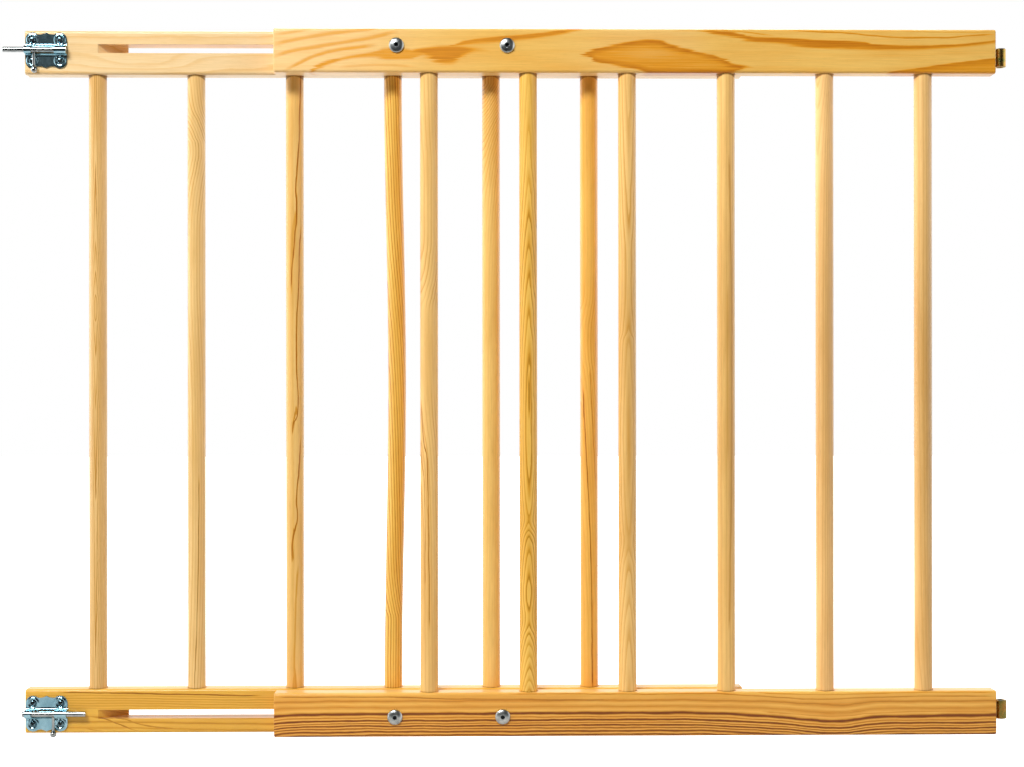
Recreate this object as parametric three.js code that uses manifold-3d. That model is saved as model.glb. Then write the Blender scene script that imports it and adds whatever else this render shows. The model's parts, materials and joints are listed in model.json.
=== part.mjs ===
// Extending wooden safety gate: two overlapping ladder panels of round bars between
// slotted and plain rails, clamped together by four connector bolts, hung on two
// screw-in hinge eyes and closed by two barrel bolts.
//
// Units are millimetres. +X runs along the gate towards the hinges, -Y is the front
// (the side that the barrel bolts are on) and +Z is up. The origin is the hinge axis
// at the middle of the lower hinge eye.
import * as THREE from 'three';
import { mergeVertices } from 'three/addons/utils/BufferGeometryUtils.js';
import Module from 'manifold-3d';

const wasm = await Module();
wasm.setup();

// ---------- driving dimensions ----------

// One ladder panel; both panels have the same sizes
const PANEL_LENGTH = 720;
const PANEL_HEIGHT = 704;
const RAIL_HEIGHT = 44;
const RAIL_THICKNESS = 22;
const RAIL_EDGE_RADIUS = 3;
const BAR_COUNT = 6;
const BAR_DIAMETER = 18;
const BAR_PITCH = 99;
const FIRST_BAR_INSET = 71;       // from the panel's outer end to its first bar
const BAR_SOCKET_DEPTH = 17;      // how far a bar enters a rail
const BOWED_BAR = 4;              // this bar of the latch panel has warped
const BAR_BOW = 4;

// How the two panels lie against each other
const PANEL_GAP = 0.5;            // between the two panels' faces
const PANEL_STAGGER = 251;        // the latch panel stands this far out beyond the hinge panel
const PANEL_STEP = 1;             // the latch panel sits this much higher

// Adjusting slots in the latch panel's rails, sawn from the front with a round blade
const SLOT_HEIGHT = 8.8;
const SLOT_INSET = 73;            // from the rail's end to the slot's end on the front face
const SAW_RADIUS = 100;
const SAW_CENTRE_HEIGHT = 65;     // of the blade's centre above the rail's front face

// Clamp line: its distance from the hinge panel's outer edge, and the bolts along it
const TOP_CLAMP_DEPTH = 17;
const BOTTOM_CLAMP_DEPTH = 20;
const TOP_CLAMP_INSETS = [122, 232];
const BOTTOM_CLAMP_INSETS = [120, 227];

// Connector bolt and its cap nut
const CAP_DIAMETER = 15;
const CAP_HEIGHT = 3.4;
const CAP_RIM_HEIGHT = 0.85;       // the upright edge below the dome
const SOCKET_ACROSS_FLATS = 4;
const SOCKET_DEPTH = 2.2;
const BOLT_SHANK_RADIUS = 2.9;
const BOLT_HOLE_RADIUS = 3.3;
const BOLT_REACH = 39;            // shank length under the head
const SLEEVE_RADIUS = 4;
const SLEEVE_BORE_RADIUS = 3.2;
const SLEEVE_LENGTH = 18.5;
const SLEEVE_BORE_DEPTH = 17;
const WASHER_RADIUS = 9.5;
const WASHER_HOLE_RADIUS = 4.4;
const WASHER_THICKNESS = 1.5;

// Hinge eye with its screw shank
const HINGE_REACH = 7;            // from the rail's end to the hinge axis
const EYE_RADIUS = 5.75;
const EYE_BORE_RADIUS = 3.25;
const EYE_HEIGHT = 18.5;
const EYE_SHANK_RADIUS = 3;
const EYE_SHANK_LENGTH = 40;      // from the hinge axis to the shank's tip
const EYE_SHANK_START = 4.5;      // inside the eye's wall, clear of its bore
const LOWER_EYE_RISE = 2;         // above the bottom rail's centre line
const UPPER_EYE_DROP = 5;         // below the top rail's centre line

// Barrel bolt: pressed plate, sliding rod and lever
const PLATE_WIDTH = 41.5;
const PLATE_THICKNESS = 1.2;
const PLATE_EDGE_INSET = 1;       // from the rail's end to the plate
const LATCH_DEPTH = 20;           // from the rail's outer edge to the rod's axis
const LOBE_RADIUS = 7.2;
const LOBE_CENTRE_HEIGHT = 10.6;
const LOBE_END_ANGLE = THREE.MathUtils.degToRad(50);
const SCALLOP_DIP = new THREE.Vector2(4.6, 15);
const SCALLOP_CREST = 17.8;
const PLATE_SCREW = new THREE.Vector2(13.8, 10.4);
const ROD_RADIUS = 2.75;
const ROD_LENGTH = 63.5;
const ROD_TRAVEL = 18.7;
const ROD_EXTENSION = 20.6;       // the rod's tip beyond the rail's end when shot
const ROD_LIFT = 4.7;             // the rod's axis above the plate's back
const TUNNEL_INNER_RADIUS = 3.15;
const TUNNEL_WALL = 1;
const TUNNEL_FOOT = 6.2;          // half width of the tunnel where it meets the plate
const WINDOW_START = 7.6;         // window in the tunnel, from the rail's end
const WINDOW_END = 31;
const WINDOW_SILL = 2.7;          // height of the tunnel left in the window
const LEVER_PLACE = 31.1;         // from the rod's tip to the lever
const LEVER_RADIUS = 1.4;
const LEVER_LENGTH = 20;          // from the rod's axis to the knob's centre
const KNOB_RADIUS = 3.25;

// Plate screws: a raised head on a shank that tapers to a point
const SCREW_HEAD_RADIUS = 3.1;
const SCREW_HEAD_HEIGHT = 1.4;
const SCREW_CROWN_RADIUS = 1.86;
const SCREW_CROWN_HEIGHT = 1.19;
const SCREW_SHANK_RADIUS = 1.5;
const SCREW_HOLE_RADIUS = 1.85;
const SCREW_LENGTH = 14;
const SCREW_TAPER_START = 10.5;   // below the head

// Air left between two pieces that touch, and how far a cut runs past a face
const GAP = 0.3;
const OVERCUT = 1;

// Points of one mesh nearer than this are one point
const WELD_DISTANCE = 1e-4;

// Facets round a full circle, and steps along the smaller curves
const BAR_SIDES = 16;
const HARDWARE_SIDES = 14;
const SCREW_SIDES = 12;
const LEVER_SIDES = 10;
const KNOB_SIDES = 14;
const KNOB_ROWS = 8;
const HEXAGON = 6;
const DOME_STEPS = 3;
const BOW_STEPS = 10;
const RAIL_CORNER_SIDES = 3;
const PLATE_CORNER_SIDES = 4;
const BLADE_SIDES = 5;

// ---------- materials ----------

function pine(color) {
  return new THREE.MeshStandardMaterial({ color, roughness: 0.45, metalness: 0 });
}

function zinc() {
  return new THREE.MeshStandardMaterial({ color: 0xb9c6cc, roughness: 0.28, metalness: 1 });
}

function yellowZinc() {
  return new THREE.MeshStandardMaterial({ color: 0xa8975a, roughness: 0.35, metalness: 1 });
}

// ---------- helpers for solids ----------

function toSolid(geometry) {
  const bare = geometry.clone();
  bare.deleteAttribute('normal');
  bare.deleteAttribute('uv');
  const merged = mergeVertices(bare, WELD_DISTANCE);
  const vertProperties = new Float32Array(merged.attributes.position.array);
  const triVerts = new Uint32Array(merged.index.array);
  return new wasm.Manifold(new wasm.Mesh({ numProp: 3, vertProperties, triVerts }));
}

function toGeometry(solid) {
  const mesh = solid.getMesh();
  const geometry = new THREE.BufferGeometry();
  geometry.setAttribute('position', new THREE.BufferAttribute(mesh.vertProperties, 3));
  geometry.setIndex(new THREE.BufferAttribute(mesh.triVerts, 1));
  geometry.computeVertexNormals();
  return geometry;
}

// Cuts every tool geometry out of a base geometry.
function carve(base, tools) {
  let solid = toSolid(base);
  for (const tool of tools) {
    solid = solid.subtract(toSolid(tool));
  }
  return toGeometry(solid);
}

// Makes one solid of two geometries, ready for more cutting.
function join(first, second) {
  return toSolid(first).add(toSolid(second));
}

// A cylinder along X, Y or Z, centred on the given place.
function cylinder(radius, length, axis, place, sides) {
  const geometry = new THREE.CylinderGeometry(radius, radius, length, sides);
  if (axis === 'x') {
    geometry.rotateZ(-Math.PI / 2);
  }
  if (axis === 'z') {
    geometry.rotateX(Math.PI / 2);
  }
  geometry.translate(place.x, place.y, place.z);
  return geometry;
}

// A section drawn in the YZ plane and extruded along X, centred on the origin.
function extrudeAlongX(shape, length, curveSegments) {
  const geometry = new THREE.ExtrudeGeometry(shape, { depth: length, bevelEnabled: false, curveSegments });
  geometry.translate(0, 0, -length / 2);
  const turn = new THREE.Matrix4().makeBasis(
    new THREE.Vector3(0, 1, 0),
    new THREE.Vector3(0, 0, 1),
    new THREE.Vector3(1, 0, 0),
  );
  geometry.applyMatrix4(turn);
  return geometry;
}

function named(name, geometry, material) {
  const mesh = new THREE.Mesh(geometry, material);
  mesh.name = name;
  return mesh;
}

// ---------- rails ----------

function railSection() {
  const halfDepth = RAIL_THICKNESS / 2;
  const halfHeight = RAIL_HEIGHT / 2;
  const cornerY = halfDepth - RAIL_EDGE_RADIUS;
  const cornerZ = halfHeight - RAIL_EDGE_RADIUS;
  const shape = new THREE.Shape();
  shape.moveTo(-cornerY, -halfHeight);
  shape.lineTo(cornerY, -halfHeight);
  shape.absarc(cornerY, -cornerZ, RAIL_EDGE_RADIUS, -Math.PI / 2, 0, false);
  shape.lineTo(halfDepth, cornerZ);
  shape.absarc(cornerY, cornerZ, RAIL_EDGE_RADIUS, 0, Math.PI / 2, false);
  shape.lineTo(-cornerY, halfHeight);
  shape.absarc(-cornerY, cornerZ, RAIL_EDGE_RADIUS, Math.PI / 2, Math.PI, false);
  shape.lineTo(-halfDepth, -cornerZ);
  shape.absarc(-cornerY, -cornerZ, RAIL_EDGE_RADIUS, Math.PI, Math.PI * 1.5, false);
  return shape;
}

// Bars stand at one pitch, counted from the panel's outer end.
// outward is +1 where that end points to +X and -1 where it points to -X.
function barPlaces(outward) {
  const places = [];
  for (let i = 0; i < BAR_COUNT; i += 1) {
    places.push(outward * (PANEL_LENGTH / 2 - FIRST_BAR_INSET - i * BAR_PITCH));
  }
  return places.sort((a, b) => a - b);
}

// Blind sockets for the bars, bored from the rail's inner edge.
// up is +1 for the top rail and -1 for the bottom rail.
function barSockets(outward, up) {
  const depth = BAR_SOCKET_DEPTH + GAP + OVERCUT;
  const z = up * (-RAIL_HEIGHT / 2 - OVERCUT + depth / 2);
  const radius = BAR_DIAMETER / 2 + GAP;
  return barPlaces(outward).map((x) => (
    cylinder(radius, depth, 'z', new THREE.Vector3(x, 0, z), BAR_SIDES)
  ));
}

// The saw's plan: full depth in the middle and a long round run-out at each end.
function slotCut(z) {
  const front = -RAIL_THICKNESS / 2;
  const back = RAIL_THICKNESS / 2;
  const bladeY = front - SAW_CENTRE_HEIGHT;
  const runOut = Math.sqrt(SAW_RADIUS ** 2 - SAW_CENTRE_HEIGHT ** 2);
  const bladeX = PANEL_LENGTH / 2 - SLOT_INSET - runOut;
  const frontAngle = Math.atan2(front - OVERCUT - bladeY, runOut);
  const backAngle = Math.asin((back + OVERCUT - bladeY) / SAW_RADIUS);
  const plan = new THREE.Shape();
  plan.absarc(bladeX, bladeY, SAW_RADIUS, frontAngle, backAngle, false);
  plan.absarc(-bladeX, bladeY, SAW_RADIUS, Math.PI - backAngle, Math.PI - frontAngle, false);
  plan.closePath();
  const cut = new THREE.ExtrudeGeometry(plan, {
    depth: SLOT_HEIGHT,
    bevelEnabled: false,
    curveSegments: BLADE_SIDES,
  });
  cut.translate(0, 0, z - SLOT_HEIGHT / 2);
  return cut;
}

function hingeRailGeometry(up) {
  const clampDepth = up > 0 ? TOP_CLAMP_DEPTH : BOTTOM_CLAMP_DEPTH;
  const insets = up > 0 ? TOP_CLAMP_INSETS : BOTTOM_CLAMP_INSETS;
  const tools = barSockets(1, up);
  for (const inset of insets) {
    const place = new THREE.Vector3(inset - PANEL_LENGTH / 2, 0, up * (RAIL_HEIGHT / 2 - clampDepth));
    const length = RAIL_THICKNESS + 2 * OVERCUT;
    tools.push(cylinder(BOLT_HOLE_RADIUS, length, 'y', place, HARDWARE_SIDES));
  }
  const shankHole = EYE_SHANK_LENGTH - HINGE_REACH + GAP + OVERCUT;
  const shankPlace = new THREE.Vector3(
    PANEL_LENGTH / 2 + OVERCUT - shankHole / 2,
    0,
    up > 0 ? -UPPER_EYE_DROP : LOWER_EYE_RISE,
  );
  tools.push(cylinder(EYE_SHANK_RADIUS + GAP, shankHole, 'x', shankPlace, HARDWARE_SIDES));
  return carve(extrudeAlongX(railSection(), PANEL_LENGTH, RAIL_CORNER_SIDES), tools);
}

// The slot lies on the clamp line, which the latch panel's step shifts within its rail.
function latchRailGeometry(up) {
  const clampDepth = up > 0 ? TOP_CLAMP_DEPTH : BOTTOM_CLAMP_DEPTH;
  const slotZ = up * (RAIL_HEIGHT / 2 - clampDepth) - PANEL_STEP;
  const tools = barSockets(-1, up);
  tools.push(slotCut(slotZ));
  const depth = SCREW_LENGTH + OVERCUT;
  for (const screw of plateScrewPlaces()) {
    const place = new THREE.Vector3(
      latchCentreX() + screw.x,
      -RAIL_THICKNESS / 2 - OVERCUT + depth / 2,
      up * (RAIL_HEIGHT / 2 - LATCH_DEPTH) + screw.y,
    );
    tools.push(cylinder(SCREW_HOLE_RADIUS, depth, 'y', place, SCREW_SIDES));
  }
  return carve(extrudeAlongX(railSection(), PANEL_LENGTH, RAIL_CORNER_SIDES), tools);
}

// ---------- bars ----------

// The centre line of a bar held square in both rails, with its middle warped sideways.
class BowedLine extends THREE.Curve {
  constructor(length, freeLength, bow) {
    super();
    this.length = length;
    this.freeLength = freeLength;
    this.bow = bow;
  }

  getPoint(t, target = new THREE.Vector3()) {
    const z = (t - 0.5) * this.length;
    const turn = THREE.MathUtils.clamp((2 * Math.PI * z) / this.freeLength, -Math.PI, Math.PI);
    return target.set((this.bow * (1 + Math.cos(turn))) / 2, 0, z);
  }
}

function barGeometry(bow) {
  const freeLength = PANEL_HEIGHT - 2 * RAIL_HEIGHT;
  const length = freeLength + 2 * BAR_SOCKET_DEPTH;
  if (bow === 0) {
    return cylinder(BAR_DIAMETER / 2, length, 'z', new THREE.Vector3(), BAR_SIDES);
  }
  const section = new THREE.Shape();
  section.absarc(0, 0, BAR_DIAMETER / 2, 0, 2 * Math.PI, false);
  return new THREE.ExtrudeGeometry(section, {
    steps: BOW_STEPS,
    curveSegments: BAR_SIDES / 2,
    extrudePath: new BowedLine(length, freeLength, bow),
  });
}

// ---------- connector bolts ----------

// A domed cap on a stem, turned about Y, with the cap towards -Y and its underside at y = 0.
function cappedStem(stemRadius, stemLength) {
  const points = [new THREE.Vector2(0, stemLength)];
  points.push(new THREE.Vector2(stemRadius, stemLength));
  points.push(new THREE.Vector2(stemRadius, 0));
  points.push(new THREE.Vector2(CAP_DIAMETER / 2, 0));
  for (let i = 0; i <= DOME_STEPS; i += 1) {
    const turn = (i / DOME_STEPS) * (Math.PI / 2);
    const radius = i === DOME_STEPS ? 0 : (CAP_DIAMETER / 2) * Math.cos(turn);
    const rise = CAP_RIM_HEIGHT + (CAP_HEIGHT - CAP_RIM_HEIGHT) * Math.sin(turn);
    points.push(new THREE.Vector2(radius, -rise));
  }
  points.reverse();
  return new THREE.LatheGeometry(points, HARDWARE_SIDES);
}

function hexSocket() {
  const radius = SOCKET_ACROSS_FLATS / Math.sqrt(3);
  const length = SOCKET_DEPTH + OVERCUT;
  const place = new THREE.Vector3(0, -CAP_HEIGHT - OVERCUT + length / 2, 0);
  return cylinder(radius, length, 'y', place, HEXAGON);
}

function boltGeometry() {
  return carve(cappedStem(BOLT_SHANK_RADIUS, BOLT_REACH), [hexSocket()]);
}

function nutGeometry() {
  const depth = SLEEVE_BORE_DEPTH + OVERCUT;
  const place = new THREE.Vector3(0, SLEEVE_LENGTH + OVERCUT - depth / 2, 0);
  const bore = cylinder(SLEEVE_BORE_RADIUS, depth, 'y', place, HARDWARE_SIDES);
  return carve(cappedStem(SLEEVE_RADIUS, SLEEVE_LENGTH), [hexSocket(), bore]);
}

// A flat ring or tube about Y, centred on the origin.
function ring(innerRadius, outerRadius, height) {
  const points = [
    new THREE.Vector2(innerRadius, -height / 2),
    new THREE.Vector2(outerRadius, -height / 2),
    new THREE.Vector2(outerRadius, height / 2),
    new THREE.Vector2(innerRadius, height / 2),
    new THREE.Vector2(innerRadius, -height / 2),
  ];
  return new THREE.LatheGeometry(points, HARDWARE_SIDES);
}

// Bolt, washer and cap nut of one clamp, on the clamp's axis in the hinge panel's frame.
function clamp(name, x, z) {
  const group = new THREE.Group();
  group.position.set(x, 0, z);
  const bolt = named(`${name}_clamp_bolt`, boltGeometry(), zinc());
  bolt.position.y = -RAIL_THICKNESS / 2 - GAP;
  const backFace = RAIL_THICKNESS * 1.5 + PANEL_GAP;
  const washer = named(
    `${name}_clamp_washer`,
    ring(WASHER_HOLE_RADIUS, WASHER_RADIUS, WASHER_THICKNESS),
    zinc(),
  );
  washer.position.y = backFace + GAP + WASHER_THICKNESS / 2;
  const nut = named(`${name}_clamp_nut`, nutGeometry(), zinc());
  nut.rotation.z = Math.PI;
  nut.position.y = backFace + 2 * GAP + WASHER_THICKNESS;
  group.add(bolt, washer, nut);
  return group;
}

// ---------- hinge eyes ----------

function hingeEyeGeometry() {
  const eye = ring(EYE_BORE_RADIUS, EYE_RADIUS, EYE_HEIGHT);
  eye.rotateX(Math.PI / 2);
  const length = EYE_SHANK_LENGTH - EYE_SHANK_START;
  const place = new THREE.Vector3(-EYE_SHANK_START - length / 2, 0, 0);
  return toGeometry(join(eye, cylinder(EYE_SHANK_RADIUS, length, 'x', place, HARDWARE_SIDES)));
}

// ---------- barrel bolts ----------

// A latch is drawn about its plate's middle, with the plate's back at y = 0 and -Y the front.

function latchCentreX() {
  return -PANEL_LENGTH / 2 + PLATE_EDGE_INSET + PLATE_WIDTH / 2;
}

// A distance from the rail's end, in the latch's own X
function fromRailEnd(distance) {
  return distance - PLATE_EDGE_INSET - PLATE_WIDTH / 2;
}

function plateScrewPlaces() {
  const { x, y } = PLATE_SCREW;
  return [
    new THREE.Vector2(-x, y),
    new THREE.Vector2(x, y),
    new THREE.Vector2(-x, -y),
    new THREE.Vector2(x, -y),
  ];
}

function plateOutline() {
  const lobeX = PLATE_WIDTH / 2 - LOBE_RADIUS;
  const lobeY = LOBE_CENTRE_HEIGHT;
  const joinX = lobeX - LOBE_RADIUS * Math.cos(LOBE_END_ANGLE);
  const joinY = lobeY + LOBE_RADIUS * Math.sin(LOBE_END_ANGLE);
  const { x: dipX, y: dipY } = SCALLOP_DIP;
  const shape = new THREE.Shape();
  shape.absarc(lobeX, -lobeY, LOBE_RADIUS, -Math.PI + LOBE_END_ANGLE, 0, false);
  shape.absarc(lobeX, lobeY, LOBE_RADIUS, 0, Math.PI - LOBE_END_ANGLE, false);
  shape.quadraticCurveTo(dipX, dipY, 0, SCALLOP_CREST);
  shape.quadraticCurveTo(-dipX, dipY, -joinX, joinY);
  shape.absarc(-lobeX, lobeY, LOBE_RADIUS, LOBE_END_ANGLE, Math.PI, false);
  shape.absarc(-lobeX, -lobeY, LOBE_RADIUS, Math.PI, 2 * Math.PI - LOBE_END_ANGLE, false);
  shape.quadraticCurveTo(-dipX, -dipY, 0, -SCALLOP_CREST);
  shape.quadraticCurveTo(dipX, -dipY, joinX, -joinY);
  for (const place of plateScrewPlaces()) {
    const hole = new THREE.Path();
    hole.absarc(place.x, place.y, SCREW_HOLE_RADIUS, 0, 2 * Math.PI, true);
    shape.holes.push(hole);
  }
  return shape;
}

// Section of the raised tunnel that guides the rod: an arch on two flared feet.
function tunnelSection() {
  const outer = TUNNEL_INNER_RADIUS + TUNNEL_WALL;
  const base = -PLATE_THICKNESS / 2;
  const floor = -PLATE_THICKNESS;
  const axis = -ROD_LIFT;
  const shape = new THREE.Shape();
  shape.moveTo(base, -TUNNEL_FOOT);
  shape.lineTo(floor, -TUNNEL_FOOT);
  shape.quadraticCurveTo(floor, -outer, axis, -outer);
  shape.absarc(axis, 0, outer, -Math.PI / 2, -Math.PI * 1.5, true);
  shape.quadraticCurveTo(floor, outer, floor, TUNNEL_FOOT);
  shape.lineTo(base, TUNNEL_FOOT);
  return shape;
}

function rodChannel() {
  const shape = new THREE.Shape();
  shape.moveTo(-PLATE_THICKNESS, TUNNEL_INNER_RADIUS);
  shape.lineTo(-ROD_LIFT, TUNNEL_INNER_RADIUS);
  shape.absarc(-ROD_LIFT, 0, TUNNEL_INNER_RADIUS, Math.PI / 2, Math.PI * 1.5, false);
  shape.lineTo(-PLATE_THICKNESS, -TUNNEL_INNER_RADIUS);
  return extrudeAlongX(shape, PLATE_WIDTH + 2 * OVERCUT, PLATE_CORNER_SIDES);
}

function plateGeometry() {
  const plate = new THREE.ExtrudeGeometry(plateOutline(), {
    depth: PLATE_THICKNESS,
    bevelEnabled: false,
    curveSegments: PLATE_CORNER_SIDES,
  });
  plate.rotateX(Math.PI / 2);
  const tunnel = extrudeAlongX(tunnelSection(), PLATE_WIDTH - PLATE_EDGE_INSET, PLATE_CORNER_SIDES);
  const windowLength = WINDOW_END - WINDOW_START;
  const windowHeight = 2 * ROD_LIFT;
  const windowDepth = 2 * (TUNNEL_FOOT + OVERCUT);
  const gap = new THREE.BoxGeometry(windowLength, windowHeight, windowDepth);
  gap.translate(fromRailEnd((WINDOW_START + WINDOW_END) / 2), -WINDOW_SILL - windowHeight / 2, 0);
  const solid = join(plate, tunnel).subtract(toSolid(rodChannel())).subtract(toSolid(gap));
  return toGeometry(solid);
}

function rodGeometry() {
  return cylinder(ROD_RADIUS, ROD_LENGTH, 'x', new THREE.Vector3(ROD_LENGTH / 2, 0, 0), HARDWARE_SIDES);
}

// The lever hangs from the rod: its stem starts just outside the rod and ends in a knob.
function leverGeometry() {
  const start = ROD_RADIUS + GAP;
  const length = LEVER_LENGTH - start;
  const middle = new THREE.Vector3(0, 0, -start - length / 2);
  const stem = cylinder(LEVER_RADIUS, length, 'z', middle, LEVER_SIDES);
  const knob = new THREE.SphereGeometry(KNOB_RADIUS, KNOB_SIDES, KNOB_ROWS);
  knob.translate(0, 0, -LEVER_LENGTH);
  return toGeometry(join(stem, knob));
}

function screwGeometry() {
  const points = [
    new THREE.Vector2(0, -SCREW_HEAD_HEIGHT),
    new THREE.Vector2(SCREW_CROWN_RADIUS, -SCREW_CROWN_HEIGHT),
    new THREE.Vector2(SCREW_HEAD_RADIUS, 0),
    new THREE.Vector2(SCREW_SHANK_RADIUS, 0),
    new THREE.Vector2(SCREW_SHANK_RADIUS, SCREW_TAPER_START),
    new THREE.Vector2(0, SCREW_LENGTH),
  ];
  return new THREE.LatheGeometry(points, SCREW_SIDES);
}

// One complete barrel bolt. drawnBack is how far its rod stands back from fully shot.
function latch(name, up, drawnBack) {
  const group = new THREE.Group();
  group.position.set(
    latchCentreX(),
    -RAIL_THICKNESS / 2 - GAP,
    up * (PANEL_HEIGHT / 2 - LATCH_DEPTH),
  );
  group.add(named(`${name}_latch_plate`, plateGeometry(), zinc()));
  plateScrewPlaces().forEach((place, i) => {
    const screw = named(`${name}_latch_screw_${i + 1}`, screwGeometry(), zinc());
    screw.position.set(place.x, -PLATE_THICKNESS - GAP, place.y);
    group.add(screw);
  });
  const tip = fromRailEnd(-ROD_EXTENSION) + drawnBack;
  const rod = named(`${name}_latch_rod`, rodGeometry(), zinc());
  rod.position.set(tip, -ROD_LIFT, 0);
  const lever = named(`${name}_latch_lever`, leverGeometry(), zinc());
  lever.position.set(tip + LEVER_PLACE, -ROD_LIFT, 0);
  group.add(rod, lever);
  return group;
}

// ---------- the two panels ----------

const RAIL_PLACE = PANEL_HEIGHT / 2 - RAIL_HEIGHT / 2;

// outward points to the panel's outer end. bowedBar is the warped bar's number, 0 for none.
function panel(side, outward, railGeometry, railColors, barColors, bowedBar) {
  const group = new THREE.Group();
  const top = named(`${side}_top_rail`, railGeometry(1), pine(railColors[0]));
  const bottom = named(`${side}_bottom_rail`, railGeometry(-1), pine(railColors[1]));
  top.position.z = RAIL_PLACE;
  bottom.position.z = -RAIL_PLACE;
  group.add(top, bottom);
  barPlaces(outward).forEach((x, i) => {
    const bow = i + 1 === bowedBar ? BAR_BOW : 0;
    const bar = named(`${side}_bar_${i + 1}`, barGeometry(bow), pine(barColors[i]));
    bar.position.x = x;
    group.add(bar);
  });
  return group;
}

function hingePanel() {
  const rails = [0xe8b868, 0xdfa862];
  const bars = [0xf0d090, 0xd6b06c, 0xf2d49c, 0xf0d090, 0xf3d79f, 0xf2d49c];
  const group = panel('hinge', 1, hingeRailGeometry, rails, bars, 0);
  const left = -PANEL_LENGTH / 2;
  const topClampZ = PANEL_HEIGHT / 2 - TOP_CLAMP_DEPTH;
  const bottomClampZ = -PANEL_HEIGHT / 2 + BOTTOM_CLAMP_DEPTH;
  group.add(clamp('top_outer', left + TOP_CLAMP_INSETS[0], topClampZ));
  group.add(clamp('top_inner', left + TOP_CLAMP_INSETS[1], topClampZ));
  group.add(clamp('bottom_outer', left + BOTTOM_CLAMP_INSETS[0], bottomClampZ));
  group.add(clamp('bottom_inner', left + BOTTOM_CLAMP_INSETS[1], bottomClampZ));
  const upperEye = named('upper_hinge_eye', hingeEyeGeometry(), yellowZinc());
  upperEye.position.set(PANEL_LENGTH / 2 + HINGE_REACH, 0, RAIL_PLACE - UPPER_EYE_DROP);
  const lowerEye = named('lower_hinge_eye', hingeEyeGeometry(), yellowZinc());
  lowerEye.position.set(PANEL_LENGTH / 2 + HINGE_REACH, 0, -RAIL_PLACE + LOWER_EYE_RISE);
  group.add(upperEye, lowerEye);
  return group;
}

function latchPanel() {
  const rails = [0xfbdda6, 0xe9b26a];
  const bars = [0xe0b060, 0xe3b56a, 0xe2b268, 0xe08c48, 0xe6b666, 0xdc9a50];
  const group = panel('latch', -1, latchRailGeometry, rails, bars, BOWED_BAR);
  group.add(latch('top', 1, 0));
  group.add(latch('bottom', -1, ROD_TRAVEL));
  return group;
}

const midHeight = RAIL_PLACE - LOWER_EYE_RISE;
const hingePanelX = -HINGE_REACH - PANEL_LENGTH / 2;

const hingeSide = hingePanel();
hingeSide.position.set(hingePanelX, 0, midHeight);

const latchSide = latchPanel();
latchSide.position.set(
  hingePanelX - PANEL_STAGGER,
  RAIL_THICKNESS + PANEL_GAP,
  midHeight + PANEL_STEP,
);

const gate = new THREE.Group();
gate.add(hingeSide, latchSide);

export default gate;
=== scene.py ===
"""The looks of the extending wooden safety gate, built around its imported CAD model.

All sizes are in metres unless a name ends in _MM. -Y is the gate's front, +X runs
towards its hinges and +Z is up.
"""

import json
import math

import bmesh
import bpy
from mathutils import Matrix, Vector, noise


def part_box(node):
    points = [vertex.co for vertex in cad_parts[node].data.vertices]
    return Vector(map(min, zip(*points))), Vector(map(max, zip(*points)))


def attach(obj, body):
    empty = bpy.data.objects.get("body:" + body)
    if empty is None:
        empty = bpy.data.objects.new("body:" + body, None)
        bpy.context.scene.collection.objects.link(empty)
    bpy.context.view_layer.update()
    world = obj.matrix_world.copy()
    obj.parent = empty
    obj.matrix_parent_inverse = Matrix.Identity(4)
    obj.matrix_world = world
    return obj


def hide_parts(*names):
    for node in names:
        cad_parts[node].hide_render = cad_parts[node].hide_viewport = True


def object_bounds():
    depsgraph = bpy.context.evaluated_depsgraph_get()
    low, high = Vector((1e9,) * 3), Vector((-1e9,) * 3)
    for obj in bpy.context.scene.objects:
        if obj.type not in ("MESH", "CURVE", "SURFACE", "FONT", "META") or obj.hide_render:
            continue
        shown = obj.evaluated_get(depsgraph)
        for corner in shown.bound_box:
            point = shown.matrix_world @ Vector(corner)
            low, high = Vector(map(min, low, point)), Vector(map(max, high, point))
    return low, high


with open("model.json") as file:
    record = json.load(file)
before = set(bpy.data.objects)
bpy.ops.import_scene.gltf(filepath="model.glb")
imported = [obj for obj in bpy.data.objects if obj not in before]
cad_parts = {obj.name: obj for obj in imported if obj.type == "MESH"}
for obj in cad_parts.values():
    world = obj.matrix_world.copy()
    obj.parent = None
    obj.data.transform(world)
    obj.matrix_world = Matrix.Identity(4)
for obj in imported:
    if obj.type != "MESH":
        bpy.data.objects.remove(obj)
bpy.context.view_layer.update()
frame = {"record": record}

MM = 0.001

# Rails
RAIL_EDGE_RADIUS = 3 * MM
RAIL_END_EASING = 1.2 * MM
RAIL_CORNER_STEPS = 7
RAIL_RING_PITCH = 15 * MM
SOCKET_RIM = 0.35 * MM            # dark shadow gap round a bar where it enters a rail
SLOT_HEIGHT = 8.8 * MM
SLOT_INSET = 73 * MM
SAW_RADIUS = 100 * MM
SAW_CENTRE_HEIGHT = 65 * MM
CLAMP_HOLE_RADIUS = 3.3 * MM

# Bars
BAR_RADIUS = 9 * MM
BAR_SIDES = 48
BAR_RINGS = 72
BAR_UNEVENNESS = 0.10 * MM
BAR_FREE_LENGTH = 616 * MM

# Front edge of the floor: the room before it is dark
FLOOR_FRONT = -0.55

# Hex sockets of the connector bolts
HEX_SIZE = 4 * MM
HEX_DEPTH = 3.2 * MM

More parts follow.
